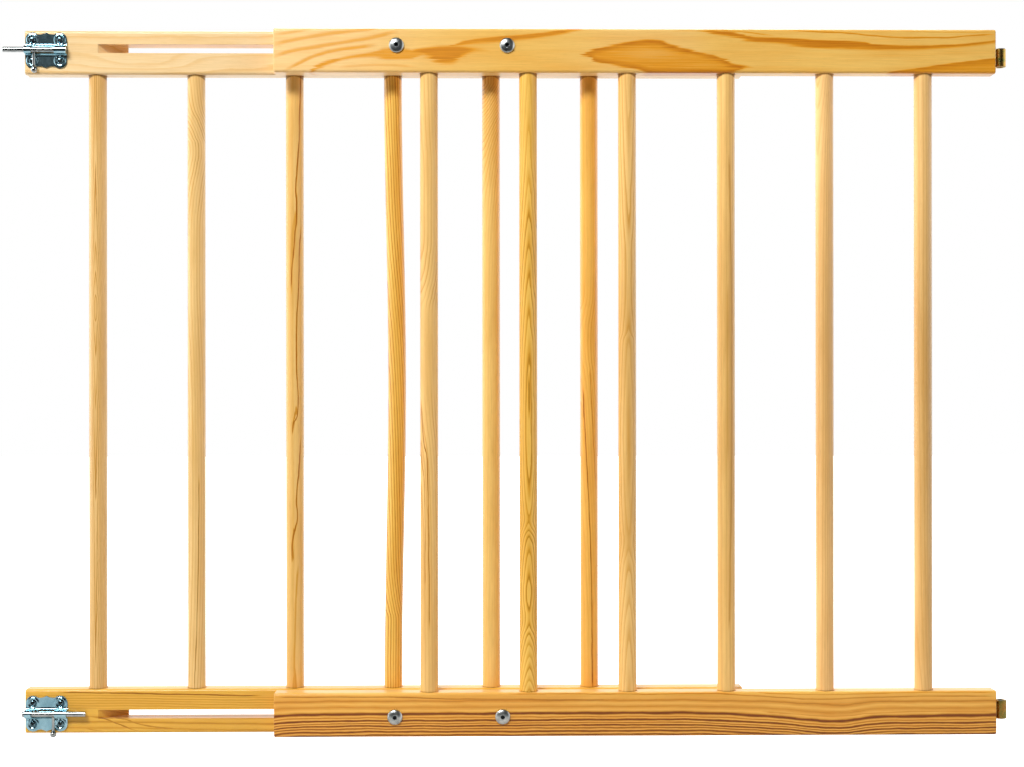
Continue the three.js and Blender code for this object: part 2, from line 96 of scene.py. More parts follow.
# Pressed latch plate
PLATE_THICKNESS = 1.2 * MM
LOBE_RADIUS = 7.2 * MM
LOBE_HEIGHT = 10.6 * MM
LOBE_END_ANGLE = math.radians(50)
SCALLOP_DIP = (4.6 * MM, 15 * MM)
SCALLOP_CREST = 17.8 * MM
TUNNEL_RADIUS = 3.6 * MM          # middle of the sheet round the rod
TUNNEL_FOOT = 6.4 * MM
TUNNEL_WALL = 1.0 * MM
ROD_LIFT = 4.7 * MM               # rod axis above the plate's back
WINDOW_SILL = 2.4 * MM
WINDOW_START = 7.6 * MM           # from the rail's end
WINDOW_END = 31 * MM
PLATE_EDGE_INSET = 1 * MM
RIM_RADIUS = 4.9 * MM
RIM_HEIGHT = 0.75 * MM
RIM_WIDTH = 0.75 * MM


# ---------- mesh helpers ----------

def new_object(name, mesh):
    """A mesh object linked to the scene."""
    obj = bpy.data.objects.new(name, mesh)
    bpy.context.scene.collection.objects.link(obj)
    return obj


def from_bmesh(name, bm):
    bmesh.ops.recalc_face_normals(bm, faces=bm.faces)
    mesh = bpy.data.meshes.new(name)
    bm.to_mesh(mesh)
    bm.free()
    return new_object(name, mesh)


def grid_faces(bm, rings, closed):
    """Quads between neighbouring rings of vertices; closed joins each ring's ends."""
    for first, second in zip(rings, rings[1:]):
        count = len(first)
        for i in range(count if closed else count - 1):
            j = (i + 1) % count
            bm.faces.new((first[i], first[j], second[j], second[i]))


def swept(name, rings):
    """A closed solid from rings of points, with a face over each end."""
    bm = bmesh.new()
    made = [[bm.verts.new(point) for point in ring] for ring in rings]
    grid_faces(bm, made, closed=True)
    bm.faces.new(made[0])
    bm.faces.new(made[-1])
    return from_bmesh(name, bm)


def turned(name, profile, sides, origin, axis):
    """A solid of revolution. profile is (radius, height) pairs along axis from origin."""
    axis = Vector(axis).normalized()
    side = axis.orthogonal().normalized()
    other = axis.cross(side)
    origin = Vector(origin)
    bm = bmesh.new()
    rings = []
    for radius, height in profile:
        centre = origin + axis * height
        if radius < 1e-7:
            rings.append([bm.verts.new(centre)])
            continue
        ring = []
        for i in range(sides):
            turn = 2 * math.pi * i / sides
            ring.append(bm.verts.new(centre + radius * (side * math.cos(turn) + other * math.sin(turn))))
        rings.append(ring)
    for first, second in zip(rings, rings[1:]):
        for i in range(sides):
            j = (i + 1) % sides
            if len(first) == 1:
                bm.faces.new((first[0], second[i], second[j]))
            elif len(second) == 1:
                bm.faces.new((first[i], first[j], second[0]))
            else:
                bm.faces.new((first[i], first[j], second[j], second[i]))
    if len(rings[0]) > 1:
        bm.faces.new(rings[0])
    if len(rings[-1]) > 1:
        bm.faces.new(rings[-1])
    return from_bmesh(name, bm)


def bake_modifiers(obj):
    """Turns the object's modifiers into its own mesh."""
    depsgraph = bpy.context.evaluated_depsgraph_get()
    mesh = bpy.data.meshes.new_from_object(obj.evaluated_get(depsgraph))
    obj.modifiers.clear()
    old = obj.data
    obj.data = mesh
    bpy.data.meshes.remove(old)


def cut(obj, cutters):
    """Takes the cutters out of obj and deletes them."""
    for cutter in cutters:
        change = obj.modifiers.new("cut", "BOOLEAN")
        change.operation = "DIFFERENCE"
        change.solver = "EXACT"
        change.object = cutter
    bpy.context.view_layer.update()
    bake_modifiers(obj)
    for cutter in cutters:
        bpy.data.objects.remove(cutter)


def smooth(obj, angle_degrees=35):
    """Smooth shading that stays crisp at corners sharper than the angle."""
    limit = math.radians(angle_degrees)
    bm = bmesh.new()
    bm.from_mesh(obj.data)
    bmesh.ops.remove_doubles(bm, verts=bm.verts, dist=1e-6)
    for edge in bm.edges:
        edge.smooth = len(edge.link_faces) == 2 and edge.calc_face_angle(0) < limit
    for face in bm.faces:
        face.smooth = True
    bm.to_mesh(obj.data)
    bm.free()
    weighted = obj.modifiers.new("weighted_normals", "WEIGHTED_NORMAL")
    weighted.keep_sharp = True


def soften(obj, width, segments=2, angle_degrees=40):
    """Rounds the sharp edges by a small bevel."""
    bevel = obj.modifiers.new("soft_edges", "BEVEL")
    bevel.width = width
    bevel.segments = segments
    bevel.limit_method = "ANGLE"
    bevel.angle_limit = math.radians(angle_degrees)
    bake_modifiers(obj)


def centre(node):
    low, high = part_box(node)
    return (low + high) / 2


def body_of_node(node):
    for body, members in frame["record"]["behaviour"]["bodies"].items():
        if node in members:
            return body
    raise KeyError(node)


def darken_recess(obj, crown, axis, reach, material):
    """Gives the faces of a recess sunk along axis from the crown their own material: a near-black one that paints
    the recess's shade.
    """
    obj.data.materials.append(material)
    axis = Vector(axis)
    for face in obj.data.polygons:
        offset = face.center - Vector(crown)
        depth = offset.dot(axis)
        aside = (offset - axis * depth).length
        steep = abs(face.normal.dot(axis)) < 0.5
        if aside < reach and (depth < -0.9 * MM or (steep and depth < -0.05 * MM and aside < 0.97 * reach)):
            face.material_index = len(obj.data.materials) - 1


def stand_in(obj, node, material):
    """obj takes the node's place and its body."""
    if obj.data.materials:
        obj.data.materials[0] = material
    else:
        obj.data.materials.append(material)
    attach(obj, body_of_node(node))
    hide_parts(node)


# ---------- material helpers ----------

class Graph:
    """Short names for making a node tree."""

    def __init__(self, name):
        self.material = bpy.data.materials.new(name)
        self.material.use_nodes = True
        self.tree = self.material.node_tree
        self.shader = self.tree.nodes["Principled BSDF"]
        coords = self.tree.nodes.new("ShaderNodeTexCoord")
        self.place = coords.outputs["Object"]
        self.normal = coords.outputs["Normal"]

    def set(self, socket, value):
        if isinstance(value, bpy.types.NodeSocket):
            self.tree.links.new(value, socket)
        else:
            socket.default_value = value

    def math(self, operation, first, second=0.0, third=0.0, clamp=False):
        node = self.tree.nodes.new("ShaderNodeMath")
        node.operation = operation
        node.use_clamp = clamp
        self.set(node.inputs[0], first)
        self.set(node.inputs[1], second)
        self.set(node.inputs[2], third)
        return node.outputs[0]

    def add(self, *values):
        total = values[0]
        for value in values[1:]:
            total = self.math("ADD", total, value)
        return total

    def times(self, first, second):
        return self.math("MULTIPLY", first, second)

    def split(self, vector):
        node = self.tree.nodes.new("ShaderNodeSeparateXYZ")
        self.set(node.inputs[0], vector)
        return node.outputs

    def vector(self, x, y, z):
        node = self.tree.nodes.new("ShaderNodeCombineXYZ")
        self.set(node.inputs[0], x)
        self.set(node.inputs[1], y)
        self.set(node.inputs[2], z)
        return node.outputs[0]

    def noise(self, vector, scale=1.0, detail=2.0, roughness=0.5):
        node = self.tree.nodes.new("ShaderNodeTexNoise")
        self.set(node.inputs["Vector"], vector)
        node.inputs["Scale"].default_value = scale
        node.inputs["Detail"].default_value = detail
        node.inputs["Roughness"].default_value = roughness
        return node.outputs["Fac"]

    def remap(self, value, low, high, to_low=0.0, to_high=1.0, smooth_step=False):
        node = self.tree.nodes.new("ShaderNodeMapRange")
        node.interpolation_type = "SMOOTHSTEP" if smooth_step else "LINEAR"
        self.set(node.inputs["Value"], value)
        node.inputs["From Min"].default_value = low
        node.inputs["From Max"].default_value = high
        node.inputs["To Min"].default_value = to_low
        node.inputs["To Max"].default_value = to_high
        return node.outputs["Result"]

    def ramp(self, value, stops):
        node = self.tree.nodes.new("ShaderNodeValToRGB")
        elements = node.color_ramp.elements
        stops = [(place, grey(colour)) for place, colour in stops]
        elements[0].position, elements[0].color = stops[0][0], (*stops[0][1], 1)
        elements[1].position, elements[1].color = stops[-1][0], (*stops[-1][1], 1)
        for position, colour in stops[1:-1]:
            elements.new(position).color = (*colour, 1)
        self.set(node.inputs[0], value)
        return node.outputs["Color"]

    def curve(self, value, points):
        """A smooth curve through (input, output) points, level beyond its ends."""
        ins = [point[0] for point in points]
        outs = [point[1] for point in points]
        low, high = min(outs), max(outs)
        span = max(high - low, 1e-6)
        node = self.tree.nodes.new("ShaderNodeFloatCurve")
        line = node.mapping.curves[0]
        start, stop = min(ins), max(ins)
        placed = sorted(((x - start) / (stop - start), (y - low) / span) for x, y in points)
        line.points[0].location = placed[0]
        line.points[1].location = placed[-1]
        for place in placed[1:-1]:
            line.points.new(*place)
        for point in line.points:
            point.handle_type = "AUTO_CLAMPED"
        node.mapping.update()
        self.set(node.inputs["Value"], self.remap(value, start, stop))
        return self.remap(node.outputs["Value"], 0.0, 1.0, low, high)

    def mix(self, amount, first, second, blend="MIX"):
        node = self.tree.nodes.new("ShaderNodeMix")
        node.data_type = "RGBA"
        node.blend_type = blend
        sockets = {s.identifier: s for s in node.inputs}
        self.set(sockets["Factor_Float"], amount)
        for key, value in (("A_Color", first), ("B_Color", second)):
            if isinstance(value, tuple):
                value = (*value[:3], 1)
            self.set(sockets[key], value)
        return next(s for s in node.outputs if s.identifier == "Result_Color")

    def bump(self, height, strength, distance):
        node = self.tree.nodes.new("ShaderNodeBump")
        node.inputs["Strength"].default_value = strength
        node.inputs["Distance"].default_value = distance
        self.set(node.inputs["Height"], height)
        self.set(self.shader.inputs["Normal"], node.outputs["Normal"])


def grey(colour):
    """Three equal parts from a single number; a colour is left as it is."""
    return colour if isinstance(colour, tuple) else (colour, colour, colour)


def srgb(red, green, blue):
    """A colour given as 0 to 255 display values, made linear."""
    def linear(value):
        value /= 255
        return value / 12.92 if value <= 0.04045 else ((value + 0.055) / 1.055) ** 2.4
    return (linear(red), linear(green), linear(blue))


# ---------- wood ----------

def wood_coordinates(graph, node, along):
    """Millimetres along the grain from the middle, across it, and in from the front."""
    low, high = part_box(node)
    x, y, z = graph.split(graph.place)
    offsets = [
        graph.times(graph.math("SUBTRACT", part, place), 1 / MM)
        for part, place in ((x, (low.x + high.x) / 2), (y, low.y), (z, (low.z + high.z) / 2))
    ]
    if along == "x":
        return offsets[0], offsets[2], offsets[1]
    bow = (high.x - low.x - 2 * BAR_RADIUS) / MM
    if bow > 0.1:
        free = BAR_FREE_LENGTH / MM
        swing = graph.math("COSINE", graph.times(offsets[2], 2 * math.pi / free))
        offsets[0] = graph.math("SUBTRACT", offsets[0], graph.times(swing, bow / 2))
    return offsets[2], offsets[0], offsets[1]


def centred_noise(graph, u, v, w, scales, seed, detail=2.0, roughness=0.5):
    """Noise from -0.5 to 0.5 with its own scale along, across and into the grain."""
    place = graph.vector(
        graph.times(u, scales[0]),
        graph.add(graph.times(v, scales[1]), seed),
        graph.times(w, scales[2]),
    )
    return graph.math("SUBTRACT", graph.noise(place, detail=detail, roughness=roughness), 0.5)


def band(graph, u, v, spec):
    """A dark patch between an upper and a lower curve, 0 to 1 and darkest inside its rim."""
    above, below = spec.get("soft", (1.0, 1.0))
    top = graph.math("SUBTRACT", graph.curve(u, spec["upper"]), v)
    bottom = graph.math("SUBTRACT", v, graph.curve(u, spec["lower"]))
    inside = graph.times(
        graph.remap(top, -0.3 * above, above, smooth_step=True),
        graph.remap(bottom, -0.3 * below, below, smooth_step=True),
    )
    heart = graph.remap(graph.math("MINIMUM", top, bottom), 1.5, 7.0, 1.0, spec.get("heart", 0.75))
    return graph.times(graph.times(inside, heart), spec["strength"])


def line(graph, u, v, points, thickness, strength, crisp=0.45, fade=14.0):
    """A growth line through (along, across) points, sharper below than above."""
    offset = graph.math("SUBTRACT", v, graph.curve(u, points))
    under = graph.remap(offset, -crisp * thickness, -0.1 * thickness, smooth_step=True)
    over = graph.remap(offset, 0.25 * thickness, 1.3 * thickness, 1.0, 0.0, smooth_step=True)
    first, last = points[0][0], points[-1][0]
    start = graph.remap(u, first, first + fade)
    end = graph.remap(u, last - fade, last, 1.0, 0.0)
    return graph.times(graph.times(under, over), graph.times(graph.times(start, end), strength))


def falling_off(graph, u, v, centre_u, centre_v, reach_u, reach_v):
    """1 at a spot, fading smoothly to 0 over the reaches along and across."""
    du = graph.times(graph.math("SUBTRACT", u, centre_u), 1 / reach_u)
    dv = graph.times(graph.math("SUBTRACT", v, centre_v), 1 / reach_v)
    square = graph.add(graph.times(du, du), graph.times(dv, dv))
    return graph.math("EXPONENT", graph.times(square, -1.0))


def growth_rings(graph, u, v, w, figure, seed, wander, ripple):
    """How dark the late wood is at a point, from the piece's own run of growth rings."""
    across = graph.add(
        v,
        graph.times(w, figure.get("slant", 0.35)),
        graph.times(wander, figure.get("wander", 3.0)),
        graph.times(ripple, figure.get("ripple", 2.0)),
    )
    if "drift" in figure:
        swing = graph.curve(u, figure["drift"])
        if "drift_fades" in figure:
            swing = graph.times(swing, graph.remap(v, *figure["drift_fades"], 1.0, 0.25))
        across = graph.math("SUBTRACT", across, swing)
    if "profile" in figure:
        low, high = figure["profile_span"]
        return graph.ramp(graph.remap(across, low, high), figure["profile"])
    if "chevrons" in figure:
        heights, spread, middle, warp = figure["chevrons"]
        arm = graph.math("SUBTRACT", graph.add(v, graph.times(ripple, 2.0)), middle)
        climb = graph.times(graph.math("POWER", graph.math("ABSOLUTE", arm), 1.5), spread)
        rings = graph.add(
            graph.curve(u, heights), climb, graph.times(w, 0.1),
            graph.times(ripple, warp), graph.times(wander, warp),
        )
    else:
        rings = graph.times(across, 1 / figure.get("pitch", 5.0))
    for centre_u, centre_v, reach_u, reach_v, rise in figure.get("swirls", ()):
        hill = falling_off(graph, u, v, centre_u, centre_v, reach_u, reach_v)
        rings = graph.add(rings, graph.times(hill, rise))
    each = graph.tree.nodes.new("ShaderNodeTexWhiteNoise")
    each.noise_dimensions = "1D"
    graph.set(each.inputs["W"], graph.add(graph.math("FLOOR", rings), seed))
    vary = graph.remap(each.outputs["Value"], 0, 1, figure.get("faintest", 0.45), 1.0)
    darkness = graph.ramp(graph.math("FRACT", rings), figure.get("line", LATEWOOD))
    return graph.times(darkness, vary)


def pine(name, node, along, colours, figure):
    """Varnished pine. colours run from early to late wood; figure says how the rings run."""
    graph = Graph(name)
    seed = figure["seed"]
    u, v, w = wood_coordinates(graph, node, along)
    wander = centred_noise(graph, u, v, w, (0.006, 0.02, 0.02), seed)
    ripple = centred_noise(graph, u, v, w, (figure.get("ripple_u", 0.03), 0.12, 0.12), seed, 3.0)
    finger = centred_noise(graph, u, v, w, (0.012, 0.55, 0.55), seed + 3, 3.0, 0.6)
    latewood = growth_rings(graph, u, v, w, figure, seed, wander, ripple)
    latewood = graph.times(latewood, figure.get("contrast", 1.0))
    if "reach" in figure:
        latewood = graph.times(latewood, graph.curve(u, figure["reach"]))
    ragged_u = graph.add(u, graph.times(finger, figure.get("ragged", 26.0)))
    ragged_v = graph.add(v, graph.times(finger, 1.6), graph.times(ripple, 1.6), graph.times(w, 0.12))
    mottle = graph.remap(finger, -0.2, 0.2, 0.72, 1.2)
    for spec in figure.get("bands", ()):
        patch = graph.times(band(graph, ragged_u, ragged_v, spec), mottle)
        latewood = graph.math("MAXIMUM", latewood, patch)
    for points, thickness, strength, *crisp in figure.get("lines", ()):
        trace = line(graph, u, ragged_v, points, thickness, strength, *crisp)
        latewood = graph.math("MAXIMUM", latewood, trace)
    for centre_u, centre_v, reach_u, reach_v, depth in figure.get("clearings", ()):
        spot = falling_off(graph, ragged_u, ragged_v, centre_u, centre_v, reach_u, reach_v)
        latewood = graph.times(latewood, graph.math("SUBTRACT", 1.0, graph.times(spot, depth)))
    fibres = centred_noise(graph, u, v, w, (0.03, 1.3, 1.3), seed, 3.0, 0.65)
    flecks = centred_noise(graph, u, v, w, (0.12, 2.4, 2.4), seed + 11, 1.0)
    cloud = centred_noise(graph, u, v, w, (0.009, 0.05, 0.05), seed + 7)
    amount = graph.math("MULTIPLY", latewood, graph.remap(fibres, -0.25, 0.25, 0.72, 1.22), clamp=True)
    early, middle, late = colours
    tint = graph.mix(0.45, early, middle)
    base = graph.mix(graph.remap(cloud, -0.15, 0.2, 0.0, 0.8, smooth_step=True), early, tint)
    if "pale" in figure:
        pale, spread = figure["pale"]
        base = graph.mix(graph.curve(u, spread), base, pale)
    colour = graph.mix(graph.remap(amount, 0.0, 0.55), base, middle)
    colour = graph.mix(graph.remap(amount, 0.5, 1.0), colour, late)
    shade = graph.add(
        graph.remap(fibres, -0.2, 0.2, -0.08, 0.06),
        graph.remap(flecks, 0.12, 0.3, 0.0, -0.12),
        1.0,
    )
    # A curve of brightness along the piece: painted light on the hinge rails, lighter towards their right-hand ends
    # where the key light falls off; on the hinge bars, darker towards their middles.
    if "tone_and_painted_light" in figure:
        shade = graph.times(shade, graph.curve(u, figure["tone_and_painted_light"]))
    # Painted shade where each bar meets a rail: an arc of painted shadow cast by the top rail's edge, curving with
    # the bar, and a thin band of painted shade at the bar's lower end.
    if along == "z":
        joint = BAR_FREE_LENGTH / MM / 2
        rounding = graph.times(graph.times(v, v), 3.2 / 81)
        painted_rail_shadow = graph.remap(graph.add(u, rounding), joint - 1.8, joint - 0.2, 0.0, 0.55, True)
        foot = graph.remap(graph.times(u, -1.0), joint - 1.2, joint, 0.0, 0.35, True)
        shade = graph.math("SUBTRACT", shade, graph.add(painted_rail_shadow, foot))
    deeper = graph.vector(shade, graph.math("POWER", shade, 1.2), graph.math("POWER", shade, 1.7))
    colour = graph.mix(1.0, colour, deeper, "MULTIPLY")
    facing = graph.split(graph.normal)[0 if along == "x" else 2]
    end_grain = graph.remap(graph.math("ABSOLUTE", facing), 0.80, 0.97, smooth_step=True)
    colour = graph.mix(graph.times(end_grain, 0.5), colour, tuple(0.7 * part for part in middle))
    graph.set(graph.shader.inputs["Base Color"], colour)
    rough = graph.add(0.42, graph.times(fibres, 0.16), graph.times(end_grain, 0.25))
    graph.set(graph.shader.inputs["Roughness"], rough)
    graph.shader.inputs["Specular IOR Level"].default_value = 0.25
    graph.shader.inputs["Coat Weight"].default_value = 0.45
    graph.shader.inputs["Coat Roughness"].default_value = 0.18
    graph.shader.inputs["Sheen Weight"].default_value = 0.4
    graph.shader.inputs["Sheen Roughness"].default_value = 0.35
    graph.shader.inputs["Sheen Tint"].default_value = (1.0, 0.88, 0.6, 1)
    relief = graph.add(graph.times(amount, 0.5), graph.times(fibres, 0.6), graph.times(cloud, 1.0))
    graph.bump(relief, 0.35, 0.25 * MM)
    return graph.material


# ---------- metals ----------

def zinc_plate(name, painted_shade=1.0):
    """Bright bluish zinc with faint rolling marks and handling haze; a factor below 1 gives a darker copy, painted
    shade for the screw heads.
    """
    graph = Graph(name)
    haze = graph.noise(graph.place, scale=240.0, detail=3.0)
    blotch = graph.noise(graph.place, scale=70.0, detail=2.0)
    x, y, z = graph.split(graph.place)
    marks = graph.noise(graph.vector(graph.times(x, 0.05), y, z), scale=2600.0, detail=2.0)
    base = graph.mix(graph.remap(blotch, 0.35, 0.65), (0.25, 0.46, 0.55), (0.42, 0.66, 0.75))
    base = graph.mix(1.0, base, grey(painted_shade), "MULTIPLY")
    graph.set(graph.shader.inputs["Base Color"], base)
    graph.shader.inputs["Metallic"].default_value = 1.0
    rough = graph.add(0.10, graph.times(haze, 0.10), graph.times(marks, 0.05))
    graph.set(graph.shader.inputs["Roughness"], rough)
    graph.bump(graph.add(haze, graph.times(marks, 0.4)), 0.22, 0.05 * MM)
    return graph.material


def polished_steel(name, roughness=0.04, brightness=1.0):
    """Smooth plated bar stock with fine turning marks."""
    graph = Graph(name)
    x, y, z = graph.split(graph.place)
    turning = graph.noise(
        graph.vector(x, graph.times(y, 0.1), graph.times(z, 0.1)), scale=3000.0, detail=1.0)
    haze = graph.noise(graph.place, scale=180.0, detail=2.0)
    base = graph.mix(graph.remap(haze, 0.35, 0.65), (0.30, 0.33, 0.33), (0.48, 0.50, 0.49))
    base = graph.mix(1.0, base, grey(brightness), "MULTIPLY")
    graph.set(graph.shader.inputs["Base Color"], base)
    graph.shader.inputs["Metallic"].default_value = 1.0
    graph.set(graph.shader.inputs["Roughness"], graph.add(roughness, graph.times(haze, 0.07)))
    graph.bump(graph.add(turning, haze), 0.2, 0.02 * MM)
    return graph.material


def shadowed_steel(name):
    """Near-black steel inside sockets and screw recesses: painted shade, with some grime."""
    graph = Graph(name)
    grime_and_shade = graph.noise(graph.place, scale=900.0, detail=2.0)
    graph.set(graph.shader.inputs["Base Color"], graph.mix(grime_and_shade, (0.018, 0.022, 0.025), (0.06, 0.07, 0.075)))
    graph.shader.inputs["Metallic"].default_value = 0.6
    graph.set(graph.shader.inputs["Roughness"], graph.add(0.35, graph.times(grime_and_shade, 0.3)))
    graph.bump(grime_and_shade, 0.2, 0.03 * MM)
    return graph.material


def yellow_zinc(name):
    """Yellow-passivated zinc: brass tones with green and rose clouds."""
    graph = Graph(name)
    cloud = graph.noise(graph.place, scale=150.0, detail=3.0)
    haze = graph.noise(graph.place, scale=600.0, detail=2.0)
    base = graph.ramp(cloud, (
        (0.30, srgb(116, 124, 70)),
        (0.44, srgb(170, 142, 70)),
        (0.56, srgb(186, 140, 70)),
        (0.70, srgb(158, 96, 48)),
    ))
    graph.set(graph.shader.inputs["Base Color"], base)
    graph.shader.inputs["Metallic"].default_value = 1.0
    graph.set(graph.shader.inputs["Roughness"], graph.add(0.18, graph.times(haze, 0.22)))
    graph.bump(graph.add(haze, cloud), 0.25, 0.04 * MM)
    return graph.material


# ---------- rails ----------

def rail_outline(low, high, inset):
    """The rail's rounded section as (y, z) points, drawn in by inset."""
    radius = max(RAIL_EDGE_RADIUS - inset * 0.5, 1 * MM)
    y0, y1 = low.y + inset, high.y - inset
    z0, z1 = low.z + inset, high.z - inset
    corners = (
        (y1 - radius, z1 - radius, 0),
        (y0 + radius, z1 - radius, 90),
        (y0 + radius, z0 + radius, 180),
        (y1 - radius, z0 + radius, 270),
    )
    points = []
    for cy, cz, start in corners:
        for step in range(RAIL_CORNER_STEPS + 1):
            turn = math.radians(start + 90 * step / RAIL_CORNER_STEPS)
            points.append((cy + radius * math.cos(turn), cz + radius * math.sin(turn)))
    return points


def rail_blank(name, low, high):
    """The rail without its holes: the rounded section swept along X, its ends eased."""
    places = []
    for step in range(4):
        turn = math.radians(90 * step / 3)
        inset = RAIL_END_EASING * (1 - math.sin(turn))
        places.append((low.x + RAIL_END_EASING * (1 - math.cos(turn)), inset))
    count = round((high.x - low.x - 2 * RAIL_END_EASING) / RAIL_RING_PITCH)
    span = high.x - low.x - 2 * RAIL_END_EASING
    middle = [(low.x + RAIL_END_EASING + span * i / count, 0.0) for i in range(1, count)]
    far = [(low.x + high.x - x, inset) for x, inset in reversed(places)]
    places = sorted(set(places + middle + far))
    rings = [
        [(x, y, z) for y, z in rail_outline(low, high, inset)]
        for x, inset in places
    ]
    return swept(name, rings)


def bar_nodes(side):
    return [f"{side}_bar_{i}" for i in range(1, 7)]


def socket_cutters(side, low, high, up):
    """Bores for the bars in a rail's inner edge, a little wider than the bars."""
    cutters = []
    for node in bar_nodes(side):
        bar_low, bar_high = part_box(node)
        straight_x = bar_low.x + BAR_RADIUS
        place = (straight_x, (low.y + high.y) / 2, bar_high.z if up else bar_low.z)
        reach = (bar_high.z - low.z if up else high.z - bar_low.z) + 2 * MM
        radius = BAR_RADIUS + SOCKET_RIM
        mouth = reach - 2 * MM
        profile = ((radius, 0), (radius, mouth - 0.5 * MM), (radius + 0.5 * MM, mouth), (radius + 0.5 * MM, reach))
        cutters.append(turned("cutter", profile, BAR_SIDES, place, (0, 0, -1 if up else 1)))
    return cutters


def slot_cutter(low, high, slot_z):
    """The adjusting slot, sawn from the front with a round blade."""
    blade_y = low.y - SAW_CENTRE_HEIGHT
    run_out = math.sqrt(SAW_RADIUS ** 2 - SAW_CENTRE_HEIGHT ** 2)
    blade_x = high.x - SLOT_INSET - run_out
    other_x = low.x + SLOT_INSET + run_out
    over = 1 * MM
    start = math.asin((low.y - over - blade_y) / SAW_RADIUS)
    stop = math.asin((high.y + over - blade_y) / SAW_RADIUS)
    steps = 14
    turns = [start + (stop - start) * i / steps for i in range(steps + 1)]
    plan = [(blade_x + SAW_RADIUS * math.cos(t), blade_y + SAW_RADIUS * math.sin(t)) for t in turns]
    plan += [(other_x - SAW_RADIUS * math.cos(t), blade_y + SAW_RADIUS * math.sin(t)) for t in reversed(turns)]
    half = SLOT_HEIGHT / 2
    rings = [[(x, y, slot_z + dz) for x, y in plan] for dz in (-half, half)]
    return swept("cutter", rings)


def make_rail(node, side, material):
    up = "top" in node
    low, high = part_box(node)
    rail = rail_blank(node + "_board", low, high)
    cutters = socket_cutters(side, low, high, up)
    row = "top" if up else "bottom"
    if side == "latch":
        cutters.append(slot_cutter(low, high, centre(f"{row}_outer_clamp_nut").z))
    else:
        for place in ("outer", "inner"):
            axis = centre(f"{row}_{place}_clamp_bolt")
            start = (axis.x, low.y - 1 * MM, axis.z)
            length = high.y - low.y + 2 * MM
            hole = ((CLAMP_HOLE_RADIUS, 0), (CLAMP_HOLE_RADIUS, length))
            cutters.append(turned("cutter", hole, 32, start, (0, 1, 0)))
    cut(rail, cutters)
    smooth(rail)
    stand_in(rail, node, material)
    return rail


# ---------- bars ----------

def make_bar(node, side, material, seed):
    """A turned bar with the slight unevenness of sanded dowel, bowed if its node is."""
    low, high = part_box(node)
    bow = (high.x - low.x) - 2 * BAR_RADIUS
    straight_x = low.x + BAR_RADIUS
    mid_y = (low.y + high.y) / 2
    top_low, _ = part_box(f"{side}_top_rail")
    _, bottom_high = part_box(f"{side}_bottom_rail")
    free = top_low.z - bottom_high.z
    mid_z = (low.z + high.z) / 2
    ease = 0.8 * MM
    rings = []
    for i in range(BAR_RINGS + 1):
        z = low.z + (high.z - low.z) * i / BAR_RINGS
        rings.append(z)
    heights = [low.z] + [low.z + ease] + rings[1:-1] + [high.z - ease] + [high.z]
    points = []
    for z in heights:
        turn = max(-math.pi, min(math.pi, 2 * math.pi * (z - mid_z) / free))
        shift = bow * (1 + math.cos(turn)) / 2
        trim = ease if z in (low.z, high.z) else 0.0
        ring = []
        for k in range(BAR_SIDES):
            angle = 2 * math.pi * k / BAR_SIDES
            where = Vector((math.cos(angle) * 0.8, math.sin(angle) * 0.8, z * 9 + seed * 13))
            radius = BAR_RADIUS - trim - BAR_UNEVENNESS * (0.5 + 0.5 * noise.noise(where))
            x = straight_x + shift + radius * math.cos(angle)
            y = mid_y + radius * math.sin(angle)
            ring.append((x, y, z))
        points.append(ring)
    bar = swept(node + "_dowel", points)
    smooth(bar, 50)
    stand_in(bar, node, material)
    return bar


# ---------- clamp hardware and hinges ----------

def dome(radius, height, rim):
    """Profile of a domed cap from its underside's edge to its crown."""
    points = [(radius - 0.25 * MM, 0), (radius, 0.25 * MM), (radius, rim)]
    steps = 12
    for i in range(1, steps + 1):
        turn = math.pi / 2 * i / steps
        points.append((radius * math.cos(turn), rim + (height - rim) * math.sin(turn)))
    points[-1] = (0.0, height)
    return points


def hex_cutter(origin, axis, across_flats, depth, turn_degrees):
    radius = across_flats / math.sqrt(3)
    axis = Vector(axis)
    side = axis.orthogonal().normalized()
    other = axis.cross(side)
    rings = []
    for height in (-depth, 2 * MM):
        ring = []
        for i in range(6):
            turn = math.radians(turn_degrees + 60 * i)
            offset = radius * (side * math.cos(turn) + other * math.sin(turn))
            ring.append(Vector(origin) + axis * height + offset)
        rings.append(ring)
    return swept("cutter", rings)


def make_cap(node, front, material, recess, stem_radius, turn_degrees):
    """A connector bolt or cap nut: domed cap, hex socket and a stem into the wood."""
    low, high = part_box(node)
    mid = centre(node)
    radius = (high.z - low.z) / 2
    height = 3.4 * MM
    facing = -1 if front else 1
    crown = low.y if front else high.y
    seat = crown - facing * height
    tip = high.y if front else low.y
    length = abs(tip - seat)
    profile = [(0, -length), (stem_radius - 0.5 * MM, -length), (stem_radius, -length + 0.5 * MM), (stem_radius, 0)]
    profile += dome(radius, height, 0.9 * MM)
    origin = (mid.x, seat, mid.z)
    cap = turned(node + "_cap", profile, 56, origin, (0, facing, 0))
    top = (mid.x, crown, mid.z)
    cut(cap, [hex_cutter(top, (0, facing, 0), HEX_SIZE, HEX_DEPTH, turn_degrees)])
    soften(cap, 0.12 * MM, 2, 50)
    smooth(cap)
    cap.data.materials.append(material)
    darken_recess(cap, top, (0, facing, 0), HEX_SIZE / math.sqrt(3), recess)
    stand_in(cap, node, material)


def make_washer(node, material):
    low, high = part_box(node)
    mid = centre(node)
    outer = (high.z - low.z) / 2
    inner = 4.4 * MM
    ease = 0.3 * MM
    depth = high.y - low.y
    profile = [
        (inner, 0), (outer - ease, 0), (outer, ease), (outer, depth - ease), (outer - ease, depth),
        (inner, depth),
    ]
    ring = turned(node + "_disc", profile, 56, (mid.x, low.y, mid.z), (0, 1, 0))
    hole = turned("cutter", ((inner, -1 * MM), (inner, depth + 1 * MM)), 56, (mid.x, low.y, mid.z), (0, 1, 0))
    cut(ring, [hole])
    smooth(ring)
    stand_in(ring, node, material)


